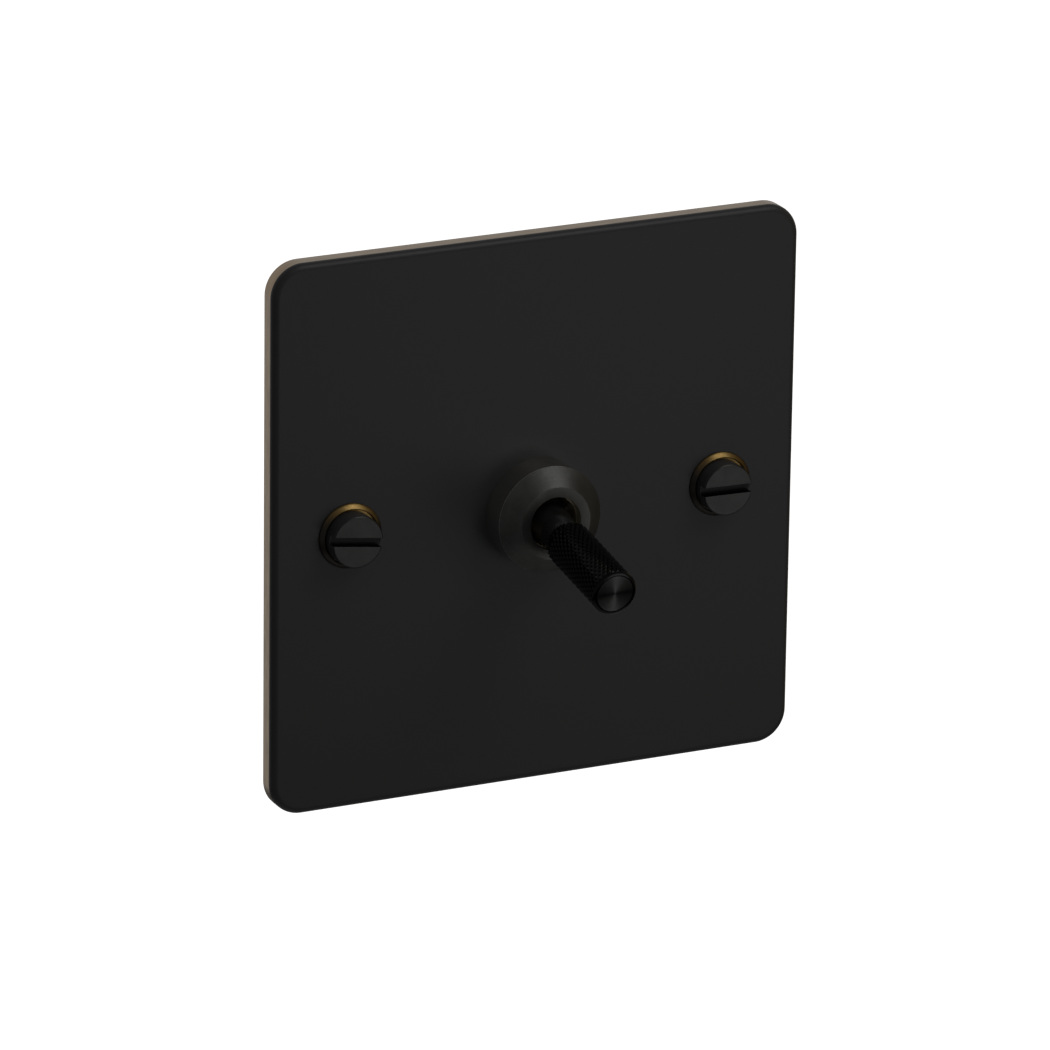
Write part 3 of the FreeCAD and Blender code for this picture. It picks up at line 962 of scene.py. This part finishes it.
class Finishes:
    """Every finish on the switch, made once and shared by its pieces."""

    def __init__(self) -> None:
        """Build the materials."""
        self.plate = PlateFinish("black_bronze_plate", black=(0.0225, 0.0225, 0.0229),
                                 bronze=(0.27, 0.205, 0.14), face_roughness=0.45, side_roughness=0.34,
                                 edge_y=-2.32).material()
        self.collar = CollarFinish("satin_gunmetal", (0.073, 0.073, 0.070), 0.50, centre=ORIGIN,
                                   direction=ALONG_Y, anisotropy=0.15).material()
        self.screw = ScrewFinish("blackened_screw", (0.036, 0.036, 0.0355), 0.36).material()
        self.cup_brass = CupBrass("cup_brass", (0.20, 0.13, 0.045), 0.36, tarnish=0.15, depth=0.001).material()
        self.lever = Coated("black_lacquer", (0.0085, 0.0085, 0.0085), 0.16, specular=0.55).material()
        self.knurl = Coated("black_knurl", (0.0004, 0.0004, 0.0005), 0.10, specular=0.17).material()
        self.tip = Turned("turned_tip", (0.056, 0.056, 0.0565), 0.46, centre=LEVER_PIVOT,
                          direction=LEVER_AXIS, anisotropy=1.0, ring_depth=0.0005).material()
        self.bush = Metal("bush_brass", (0.34, 0.29, 0.20), 0.42, tarnish=0.2, metallic=0.4).material()
        self.brass = Metal("terminal_brass", (0.62, 0.46, 0.20), 0.30, tarnish=0.22).material()
        self.zinc = Metal("zinc_plate", (0.50, 0.50, 0.49), 0.34, tarnish=0.15, grain=0.3).material()
        self.spring = Metal("spring_wire", (0.42, 0.42, 0.44), 0.25, tarnish=0.1).material()
        self.moulding = Moulded("grey_moulding", (0.035, 0.036, 0.038), 0.48).material()
        self.fibre = FibreSheet("pressed_fibre", (0.075, 0.055, 0.040), fleck=(0.16, 0.115, 0.08)).material()
        self.nylon = Moulded("nylon", (0.72, 0.70, 0.62), 0.40, see_through=0.2).material()
        self.copper = Metal("copper_strip", (0.72, 0.34, 0.20), 0.28, tarnish=0.2).material()
        self.silver = Metal("silver_tip", (0.80, 0.79, 0.76), 0.22, tarnish=0.1).material()


# ---- plate -------------------------------------------------------------------------------------
@dataclass
class FrontPlate:
    """The square plate: rounded front edge, broken rear edge, shallow pocket and three holes."""

    side: float = 85.0
    face: float = PLATE_FACE_Y
    corner: float = 5.0
    front_round: float = 1.1
    front_facets: int = 10
    rear_break: float = 0.2
    rear_facets: int = 2
    pocket_side: float = 70.0
    pocket_floor: float = -1.5
    pocket_corner: float = 3.0
    bush_hole: float = 6.1
    screw_hole: float = 2.0
    beyond: float = 2.0

    def build(self, finishes: Finishes) -> bpy.types.Object:
        """Model, dress and mount the plate.

        Args:
            finishes: The switch's finishes.

        Returns:
            The plate.
        """
        plate = Bench.slab("plate", self.side, self.face, 0.0, self.corner)
        for y, width, segments in ((self.face, self.front_round, self.front_facets),
                                   (0.0, self.rear_break, self.rear_facets)):
            with Bench.edit(plate):
                Bench.pick(plate, Part.EDGE, lambda e, y=y: all(abs(v.co.y - y * MM) < NEAR for v in e.verts))
                bpy.ops.mesh.bevel(offset=width * MM, segments=segments, affect="EDGES")
        Bench.cut(plate, Bench.slab("pocket", self.pocket_side, self.pocket_floor, self.beyond,
                                    self.pocket_corner))
        holes = [(0.0, self.bush_hole)] + [(s * SCREW_CENTRES / 2, self.screw_hole) for s in (-1, 1)]
        for x, radius in holes:
            Bench.cut(plate, Bench.rod(radius, (x, self.face - self.beyond, 0), (x, self.beyond, 0)))
        Bench.tidy(plate)
        Bench.shade(plate)
        return mount(plate, Body.SWITCH, ["faceplate"], finishes.plate)


# ---- collar ------------------------------------------------------------------------------------
@dataclass
class DressCollar:
    """The turned collar: straight rim, conical shoulder and dished nose round the lever's mouth."""

    face: float = PLATE_FACE_Y
    outer: float = 8.25
    rim_height: float = 4.7
    edge_break: float = 0.12
    edge_round: float = 0.05
    round_above_deg: float = 20.0
    round_facets: int = 3
    facets: int = 160
    nose_radius: float = 5.55
    nose_land: float = 0.10
    height: float = 6.8
    mouth: float = 4.06
    dish: float = 0.08
    bush: float = 6.0
    bush_end: float = -8.9

    def build(self, finishes: Finishes) -> bpy.types.Object:
        """Model, dress and mount the collar.

        Args:
            finishes: The switch's finishes.

        Returns:
            The collar.
        """
        rim, nose = self.face - self.rim_height, self.face - self.height
        outline = [(self.bush, self.face), (self.outer, self.face), (self.outer, rim + self.edge_break),
                   (self.outer - self.edge_break, rim), (self.nose_radius + self.nose_land / 2, nose),
                   (self.nose_radius - self.nose_land / 2, nose), (self.mouth, nose + self.dish),
                   (self.mouth, self.bush_end), (self.bush, self.bush_end)]
        collar = Bench.turned("collar", outline, self.facets, ring=True)
        Bench.break_edges(collar, self.edge_round, self.round_above_deg, self.round_facets)
        Bench.shade(collar)
        return mount(collar, Body.SWITCH, ["dress_collar"], finishes.collar)


# ---- wall fixings ------------------------------------------------------------------------------
@dataclass
class WallFixings:
    """Two captive M3.5 screws, slotted and threaded, each in a brass cup washer."""

    face: float = PLATE_FACE_Y
    head_break: float = 0.15
    edge_round: float = 0.05
    seat: float = 0.25
    waist: float = 1.45
    thread_radius: float = 1.75
    thread_start: float = 0.5
    screw_end: float = 16.3
    screw_facets: int = 64
    point: float = 0.6
    pitch: float = 0.6
    thread_depth: float = 0.30
    skin: float = 0.01
    rows_per_turn: int = 6
    slot_width: float = 1.35
    slot_depth: float = 1.3
    left_slot_turn: float = 7.7
    right_slot_turn: float = 1.1
    beyond: float = 1.0
    cup_height: float = 0.75
    cup_hole: float = 2.0
    cup_edge: float = 0.15
    cup_gap: float = 0.2
    cup_crest: float = 0.15
    cup_lip: float = 0.12
    cup_ride: float = 0.12
    cup_steps: int = 6
    cup_bulge: float = 0.8

    def screw(self) -> bpy.types.Object:
        """Model one screw about the Y axis, slot level.

        Returns:
            The screw.
        """
        under, end = self.face - self.seat, self.screw_end
        full = end - self.point
        rows = round((full - self.thread_start) / self.pitch * self.rows_per_turn)
        step = (full - self.thread_start) / rows
        thread = [(self.thread_radius, self.thread_start + i * step) for i in range(rows + 1)]
        outline = [(HEAD_RADIUS - self.head_break, HEAD_FRONT_Y), (HEAD_RADIUS, HEAD_FRONT_Y + self.head_break),
                   (HEAD_RADIUS, under), (self.waist, under), (self.waist, self.thread_start)]
        outline += thread + [(self.thread_radius - self.point, end)]
        screw = Bench.turned("screw", outline, self.screw_facets)
        Bench.cut(screw, self.blade())
        Bench.break_edges(screw, self.edge_round)
        self.roll_thread(screw, full)
        Bench.shade(screw)
        return screw

    def blade(self) -> bpy.types.Object:
        """Make the cutter for the driver slot.

        Returns:
            The cutter.
        """
        Bench.clear()
        length, depth = 2 * (HEAD_RADIUS + self.beyond), self.slot_depth + self.beyond
        y = HEAD_FRONT_Y - self.beyond + depth / 2
        bpy.ops.mesh.primitive_cube_add(size=1, location=(0, y * MM, 0))
        blade = bpy.context.object
        blade.scale = (length * MM, depth * MM, self.slot_width * MM)
        Bench.settle(blade)
        return blade

    def roll_thread(self, screw: bpy.types.Object, full: float) -> None:
        """Press a helical V thread into the screw's plain end.

        Args:
            screw: The screw, with close rows along its threaded end.
            full: The y where the full thread ends, in millimetres.
        """
        for vertex in screw.data.vertices:
            x, y, z = vertex.co / MM
            radius = math.hypot(x, z)
            if not self.thread_start - NEAR < y < full + NEAR or radius < self.thread_radius - self.skin:
                continue
            turn = (y - self.thread_start) / self.pitch + math.atan2(z, x) / math.tau
            wave = abs(2 * (turn - math.floor(turn)) - 1)
            fade = min(1.0, (y - self.thread_start) / self.pitch)
            shrink = 1 - fade * wave * self.thread_depth / radius
            vertex.co.x *= shrink
            vertex.co.z *= shrink

    def cup(self) -> bpy.types.Object:
        """Model one cup washer about the Y axis.

        Returns:
            The washer.
        """
        lip, seat = HEAD_RADIUS + self.cup_gap, self.face - self.seat
        crest, crest_radius = self.face - self.cup_height, lip + self.cup_crest
        span, rise = CUP_RADIUS - crest_radius, self.cup_height - self.cup_edge
        slope = [(CUP_RADIUS - span * share, self.face - self.cup_edge - rise * share ** self.cup_bulge)
                 for share in (i / self.cup_steps for i in range(self.cup_steps))]
        outline = [(self.cup_hole, self.face), (CUP_RADIUS, self.face)] + slope
        outline += [(crest_radius, crest), (lip, crest + self.cup_lip), (lip, seat), (self.cup_hole, seat)]
        cup = Bench.turned("cup", outline, ring=True)
        Bench.shade(cup)
        return cup

    def build(self, finishes: Finishes) -> list[bpy.types.Object]:
        """Model one screw and one washer, and mount a copy of each on either side.

        Args:
            finishes: The switch's finishes.

        Returns:
            The screws and washers.
        """
        screw, cup, made = self.screw(), self.cup(), []
        for side, x, turn in (("left", -SCREW_CENTRES / 2, self.left_slot_turn),
                              ("right", SCREW_CENTRES / 2, self.right_slot_turn)):
            for pattern, node, slot, finish, angle, z in (
                    (screw, "fixing_screw_" + side, Slot.SCREW, finishes.screw, turn, 0.0),
                    (cup, "seat_washer_" + side, Slot.BRASS, finishes.cup_brass, 0.0, self.cup_ride)):
                piece = Bench.copy(pattern, f"{pattern.name}_{side}", (x, 0, z), angle)
                made.append(mount(piece, Body.SWITCH, [node], finish))
        for pattern in (screw, cup):
            bpy.data.objects.remove(pattern)
        return made


# ---- lever -------------------------------------------------------------------------------------
@dataclass
class ToggleLever:
    """The tilting lever: a turned stem with its ball and tail, and a diamond-knurled grip."""

    pivot_y: float = LEVER_PIVOT[1]
    tilt_deg: float = LEVER_TILT_DEG
    ball: float = 3.6
    ball_steps: int = 20
    root: float = 2.8
    neck: Profile = ((3.05, 2.9), (3.075, 3.4), (3.085, 3.9), (3.08, 4.4), (3.045, 5.0), (2.95, 5.6),
                     (2.84, 6.3), (2.72, 7.0), (2.53, 7.75), (2.35, 8.36))
    tail: float = 2.0
    tail_length: float = 13.5
    tail_break: float = 0.3
    bore: float = 1.3
    bore_depth: float = 9.0
    pin_hole: float = 0.85
    grip_start: float = 8.36
    grip_length: float = 17.6
    grip_radius: float = 3.5
    grip_base: float = 2.5
    base_sink: float = 0.12
    shoulder: float = 1.7
    edge_in: float = 0.65
    edge_back: float = 0.28
    edge_steps: int = 5
    smooth_rim: float = 0.18
    rim_step: float = 0.06
    tip_skin: float = 0.003
    stud: float = 1.5
    stud_length: float = 8.0
    starts: int = 28
    rows: int = 11
    groove_depth: float = 0.20
    groove_inset: float = 0.21
    crease_deg: float = 20.0

    def along(self, distance: float) -> float:
        """Return the y, in millimetres, of a point on the level lever, counted from the pivot to the tip."""
        return self.pivot_y - distance

    def lay(self, piece: bpy.types.Object) -> None:
        """Turn a piece built level to the lever's rest position, tip down.

        Args:
            piece: The piece.
        """
        pivot = Vector((0, self.pivot_y * MM, 0))
        turn = Matrix.Rotation(math.radians(self.tilt_deg), 4, "X")
        piece.data.transform(Matrix.Translation(pivot) @ turn @ Matrix.Translation(-pivot))

    def stem(self) -> bpy.types.Object:
        """Model the stem: tail, ball, waisted neck and stud.

        Returns:
            The stem, laid at rest.
        """
        start = math.asin(self.tail / self.ball)
        turn = math.pi - math.asin(self.root / self.ball) - start
        ball = [(self.ball * math.sin(a), -self.ball * math.cos(a))
                for a in (start + turn * i / self.ball_steps for i in range(self.ball_steps + 1))]
        tail = [(self.tail - self.tail_break, -self.tail_length),
                (self.tail, self.tail_break - self.tail_length)]
        stud = [(self.stud, self.grip_start), (self.stud, self.grip_start + self.stud_length)]
        stem = Bench.turned("stem", [(r, self.along(s)) for r, s in (*tail, *ball, *self.neck, *stud)])
        beyond = 1.0
        bore_end, tail_end = self.along(self.bore_depth - self.tail_length), self.along(-self.tail_length)
        Bench.cut(stem, Bench.rod(self.bore, (0, bore_end, 0), (0, tail_end + beyond, 0)))
        side = self.ball + beyond
        Bench.cut(stem, Bench.rod(self.pin_hole, (-side, self.pivot_y, 0), (side, self.pivot_y, 0)))
        Bench.shade(stem)
        self.lay(stem)
        return stem

    def grip(self) -> bpy.types.Object:
        """Model the grip, with raised diamonds round its barrel and shoulder.

        Returns:
            The grip, laid at rest.
        """
        low = self.grip_radius - self.groove_depth
        base, tip = self.grip_start, self.grip_start + self.grip_length
        knurl_start, knurl_end = base + self.shoulder, tip - self.edge_back - self.smooth_rim
        step = (knurl_end - knurl_start) / self.rows
        stations = [(self.grip_base - self.base_sink, base), (low, knurl_start)]
        stations += [(low, knurl_start + step * i) for i in range(1, self.rows + 1)]
        grip = Bench.turned("grip", [(r, self.along(s)) for r, s in stations], self.starts)
        ends = [self.along(base) * MM, self.along(knurl_end) * MM]
        with Bench.edit(grip):
            Bench.pick(grip, Part.FACE, lambda f: len(f.verts) == 4)
            bpy.ops.mesh.poke()
            self.true_up(grip, stations)
            Bench.pick(grip, Part.EDGE, lambda e: self.is_grid_edge(e, ends))
            bpy.ops.mesh.dissolve_edges(use_verts=False)
            Bench.pick(grip, Part.FACE, lambda f: len(f.verts) <= 4)
            bpy.ops.mesh.inset(thickness=self.groove_inset * MM, depth=self.groove_depth * MM,
                               use_individual=True, use_even_offset=True)
            self.turn_ends(grip, ends, tip)
        self.lay(grip)
        Bench.tidy(grip)
        Bench.take(grip)
        bpy.ops.object.shade_smooth_by_angle(angle=math.radians(self.crease_deg))
        return grip

    def true_up(self, grip: bpy.types.Object, stations: Profile) -> None:
        """Bring the centres of the poked faces out to the turned profile.

        Args:
            grip: The grip in edit mode.
            stations: The profile, each (radius, distance from the pivot) in millimetres.
        """
        mesh = bmesh.from_edit_mesh(grip.data)
        for vertex in mesh.verts:
            if len(vertex.link_faces) != 4 or any(len(f.verts) != 3 for f in vertex.link_faces):
                continue
            distance = self.pivot_y - vertex.co.y / MM
            for (r0, s0), (r1, s1) in zip(stations, stations[1:]):
                if s0 <= distance <= s1:
                    radius = (r0 + (r1 - r0) * (distance - s0) / (s1 - s0)) * MM
                    grow = radius / math.hypot(vertex.co.x, vertex.co.z)
                    vertex.co.x *= grow
                    vertex.co.z *= grow
        bmesh.update_edit_mesh(grip.data)

    def is_grid_edge(self, edge: bmesh.types.BMEdge, ends: Sequence[float]) -> bool:
        """Say whether an edge is one of the turned grid's, which the diamonds cross.

        Args:
            edge: The edge.
            ends: The y of the knurl's two ends, in metres.

        Returns:
            Whether it is, and isn't on an end.
        """
        a, b = (v.co for v in edge.verts)
        if any(abs(a.y - y) < NEAR and abs(b.y - y) < NEAR for y in ends):
            return False
        same_row = abs(a.y - b.y) < NEAR
        same_column = abs(a.x * b.z - a.z * b.x) < SAME_COLUMN
        return all(len(f.verts) == 3 for f in edge.link_faces) and (same_row or same_column)

    def turn_ends(self, grip: bpy.types.Object, ends: Sequence[float], tip: float) -> None:
        """Replace the knurl's end caps with the smooth rim, rounded edge and tip, and the base with its bore.

        Args:
            grip: The grip in edit mode.
            ends: The y of the knurl's two ends, in metres.
            tip: The tip's distance from the pivot, in millimetres.
        """
        turns = [math.pi / 2 * i / self.edge_steps for i in range(self.edge_steps + 1)]
        edge = [(self.grip_radius - self.edge_in * (1 - math.cos(a)),
                 self.along(tip - self.edge_back * (1 - math.sin(a)))) for a in turns]
        rim = [(self.grip_radius - self.rim_step, ends[1] / MM),
               (self.grip_radius, ends[1] / MM - self.rim_step)]
        for y, stations in ((ends[1], rim + edge), (ends[0], [(self.stud, ends[0] / MM)])):
            Bench.pick(grip, Part.FACE, lambda f, y=y: (len(f.verts) == self.starts
                                                        and abs(f.calc_center_median().y - y) < NEAR))
            Bench.draw_on(self.ring_radius(grip), y / MM, stations)

    @staticmethod
    def ring_radius(grip: bpy.types.Object) -> float:
        """Return the radius, in millimetres, of the ring that is selected in edit mode."""
        mesh = bmesh.from_edit_mesh(grip.data)
        return max(math.hypot(v.co.x, v.co.z) for v in mesh.verts if v.select) / MM

    def build(self, finishes: Finishes) -> list[bpy.types.Object]:
        """Model, dress and mount the stem and the grip.

        Args:
            finishes: The switch's finishes.

        Returns:
            The two pieces.
        """
        stem = mount(self.stem(), Body.LEVER, ["lever_stem"], finishes.lever)
        grip = mount(self.grip(), Body.LEVER, ["knurled_grip"], finishes.knurl)
        grip.data.materials.append(finishes.tip)
        limit = self.grip_start + self.grip_length - self.tip_skin
        axis, pivot = Vector(LEVER_AXIS), Vector(LEVER_PIVOT) * MM
        for face in grip.data.polygons:
            if (face.center - pivot).dot(axis) > limit * MM:
                face.material_index = 1
        return [stem, grip]


# ---- behind the plate --------------------------------------------------------------------------
@dataclass
class RearWorks:
    """The rear pieces that show, each with its edges broken as on the real moulding or pressing."""

    case_round: float = 0.35
    pressed_round: float = 0.12
    block_round: float = 0.25
    screw_round: float = 0.12
    flat_deg: float = 1.0

    def finish(self, node: str, width: float, slot: Slot, finish: bpy.types.Material) -> bpy.types.Object:
        """Copy a CAD node, join its loose triangles into whole faces and break its sharp edges.

        Args:
            node: The CAD node.
            width: The width of the broken edges in millimetres.
            slot: Not used.
            finish: Its material.

        Returns:
            The new piece, in the node's place.
        """
        piece = Bench.copy(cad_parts[node], node + "_finished")
        with Bench.edit(piece):
            bpy.ops.mesh.select_all(action="SELECT")
            bpy.ops.mesh.remove_doubles(threshold=NEAR)
            bpy.ops.mesh.dissolve_limited(angle_limit=math.radians(self.flat_deg))
            bpy.ops.mesh.normals_make_consistent(inside=False)
        Bench.break_edges(piece, width)
        Bench.shade(piece)
        return mount(piece, Body.SWITCH, [node], finish)

    def build(self, finishes: Finishes) -> list[bpy.types.Object]:
        """Finish the case, cradle, nut, earth block and the screws.

        Args:
            finishes: The switch's finishes.

        Returns:
            The new pieces.
        """
        made = [self.finish("switch_case", self.case_round, Slot.MOULDING, finishes.moulding),
                self.finish("switch_frame", self.pressed_round, Slot.ZINC, finishes.zinc),
                self.finish("rear_nut", self.pressed_round, Slot.ZINC, finishes.zinc),
                self.finish("earth_terminal", self.block_round, Slot.BRASS, finishes.brass)]
        for node in ("terminal_screw_common", "terminal_screw_upper", "terminal_screw_lower", "earth_screw"):
            made.append(self.finish(node, self.screw_round, Slot.ZINC, finishes.zinc))
        return made


# ---- mechanism ---------------------------------------------------------------------------------
@dataclass
class Mechanism:
    """Everything else behind the plate, which keeps its CAD shape and gets its finish."""

    spring_start: float = 4.5
    spring_length: float = 5.5
    plunger_travel: float = 0.8

    def spring(self, finishes: Finishes) -> bpy.types.Object:
        """Copy the plunger's spring and mount it to ride on the lever.

        Args:
            finishes: The switch's finishes.

        Returns:
            The spring.
        """
        coil = Bench.copy(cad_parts["plunger_spring"], "spring_coil")
        Bench.tidy(coil)
        Bench.shade(coil)
        mount(coil, Body.LEVER, ["plunger_spring"], finishes.spring)
        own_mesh(coil)
        return coil

    def build(self, finishes: Finishes) -> None:
        """Mount the spring, then dress every CAD node that still shows.

        Args:
            finishes: The switch's finishes.
        """
        self.spring(finishes)
        wanted = {
            "insulating_liner": finishes.fibre, "dust_shield": finishes.fibre,
            "retaining_washer_left": finishes.fibre, "retaining_washer_right": finishes.fibre,
            "mounting_bush": finishes.bush, "pivot_pin": finishes.zinc, "lock_washer": finishes.zinc,
            "common_saddle": finishes.brass, "terminal_common": finishes.brass,
            "rocker_contact": finishes.copper, "plunger": finishes.nylon,
        }
        for name in ("upper", "lower"):
            wanted["fixed_contact_" + name] = wanted["terminal_" + name] = finishes.brass
            wanted["fixed_tip_" + name] = wanted["moving_tip_" + name] = finishes.silver
        shown = {name: node for name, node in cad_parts.items() if not node.hide_render}
        for name, node in shown.items():
            if not node.material_slots:
                node.data.materials.append(wanted[name])
            for slot in node.material_slots:
                slot.material = wanted[name]
        LOG.info("%d nodes keep their CAD shape", len(shown))


# ---- studio ------------------------------------------------------------------------------------
@dataclass(frozen=True)
class SoftBox:
    """A square white area light aimed at the origin, sizes in metres."""

    name: str
    place: Triple
    size: float
    power: float

    def build(self) -> None:
        """Add the light."""
        light = bpy.data.lights.new(self.name, "AREA")
        light.shape, light.size = "SQUARE", self.size
        light.energy = self.power
        lamp = bpy.data.objects.new(self.name, light)
        bpy.context.scene.collection.objects.link(lamp)
        lamp.location = self.place
        lamp.rotation_euler = (-Vector(self.place)).to_track_quat("-Z", "Y").to_euler()


@dataclass
class Studio:
    """Camera, soft lights, white surround and a plain pale floor.

    Each zone of the surround is the span of a direction's x, y or z over which its light changes: warmer to the
    right, brighter to the rear and straight below, and darker between the top and the foot of a table.
    """

    azimuth: float = -25.40
    elevation: float = 19.18
    roll: float = 0.79
    distance: float = 1.2289
    lens: float = 284.61
    sensor: float = 36.0
    clip: Pair = (0.01, 50.0)
    shift_right: float = -0.21
    shift_up: float = -3.24
    floor_z: float = -0.70
    floor_side: float = 12.0
    floor_tones: Pair = (0.92, 0.95)
    floor_blotch: float = 900.0
    front_level: float = 0.17
    rear_level: float = 0.60
    rear_zone: Pair = (0.1, 0.9)
    low_extra: float = 0.08
    low_zone: Pair = (-0.2, -1.0)
    white: Colour = (1.0, 1.0, 1.0)
    warm_side: Colour = (1.0, 0.82, 0.55)
    warm_zone: Pair = (0.55, 0.9)
    table_shade: float = 0.92
    table_top: Pair = (-0.40, -0.52)
    table_foot: Pair = (-0.68, -0.80)

    def camera(self) -> None:
        """Add the camera."""
        azimuth, elevation = math.radians(self.azimuth), math.radians(self.elevation)
        back = Vector((math.sin(azimuth) * math.cos(elevation), -math.cos(azimuth) * math.cos(elevation),
                       math.sin(elevation)))
        right = (-back).cross(Vector((0, 0, 1))).normalized()
        up = right.cross(-back)
        target = (right * self.shift_right + up * self.shift_up) * MM
        roll = math.radians(self.roll)
        rolled_right = right * math.cos(roll) + up * math.sin(roll)
        rolled_up = up * math.cos(roll) - right * math.sin(roll)
        data = bpy.data.cameras.new("camera")
        data.lens, data.sensor_width = self.lens, self.sensor
        data.clip_start, data.clip_end = self.clip
        camera = bpy.data.objects.new("camera", data)
        bpy.context.scene.collection.objects.link(camera)
        turn = Matrix((rolled_right, rolled_up, back)).transposed().to_4x4()
        camera.matrix_world = Matrix.Translation(target + back * self.distance) @ turn
        bpy.context.scene.camera = camera

    def surround(self) -> None:
        """Make the world white to look at, and softer where it lights the object."""
        world = bpy.data.worlds.new("studio")
        bpy.context.scene.world = world
        world.use_nodes = True
        nodes = Nodes(world.node_tree, "Generated")
        output = nodes.add("ShaderNodeOutputWorld")
        choice = nodes.add("ShaderNodeMixShader")
        lit, seen = (nodes.add("ShaderNodeBackground") for _ in range(2))
        x, y, z = (nodes.axis(letter) for letter in "XYZ")
        level = nodes.calc("ADD", nodes.between(y, *self.rear_zone, self.front_level, self.rear_level),
                           nodes.between(z, *self.low_zone, 0.0, self.low_extra))
        band = nodes.calc("MAXIMUM", nodes.between(z, *self.table_top, 1.0, 1.0 - self.table_shade),
                          nodes.between(z, *self.table_foot))
        nodes.link(nodes.calc("MULTIPLY", level, band), lit.inputs["Strength"])
        nodes.link(nodes.mix(nodes.between(x, *self.warm_zone), self.white, self.warm_side),
                   lit.inputs["Color"])
        seen.inputs["Color"].default_value = (*self.white, 1.0)
        nodes.link(nodes.add("ShaderNodeLightPath").outputs["Is Camera Ray"], choice.inputs["Fac"])
        for background, entry in ((lit, 1), (seen, 2)):
            nodes.link(background.outputs["Background"], choice.inputs[entry])
        nodes.link(choice.outputs["Shader"], output.inputs["Surface"])

    def floor(self) -> None:
        """Lay the floor, pale and evenly bright."""
        Bench.clear()
        bpy.ops.mesh.primitive_plane_add(size=self.floor_side, location=(0, 0, self.floor_z))
        floor = bpy.context.object
        floor.name = "floor"
        floor.visible_glossy = floor.visible_diffuse = False
        recipe = Recipe("pale_floor")
        tones = ((tone, tone, tone) for tone in self.floor_tones)
        recipe.set(Base_Color=recipe.mix(recipe.noise(self.floor_blotch), *tones), Roughness=0.8,
                   Emission_Color=(*self.white, 1.0), Emission_Strength=0.9)
        floor.data.materials.append(recipe.material)

    def lights(self) -> None:
        """Add the soft lights."""
        for box in (SoftBox("overhead", (0.20, -0.24, 0.39), size=0.28, power=0.55),
                    SoftBox("low_right", (0.142, -0.30, -0.055), size=0.16, power=0.085)):
            box.build()

    def build(self) -> None:
        """Set up the whole studio."""
        bpy.context.scene.view_settings.view_transform = "Standard"
        self.camera()
        self.surround()
        self.floor()
        self.lights()


def main() -> None:
    """Build the studio and every sub-assembly in order."""
    logging.basicConfig(level=logging.INFO, format="%(name)s: %(message)s")
    finishes = Finishes()
    Studio().build()
    FrontPlate().build(finishes)
    DressCollar().build(finishes)
    WallFixings().build(finishes)
    ToggleLever().build(finishes)
    RearWorks().build(finishes)
    Mechanism().build(finishes)
    Bench.clear()


if __name__ == "__main__":
    main()
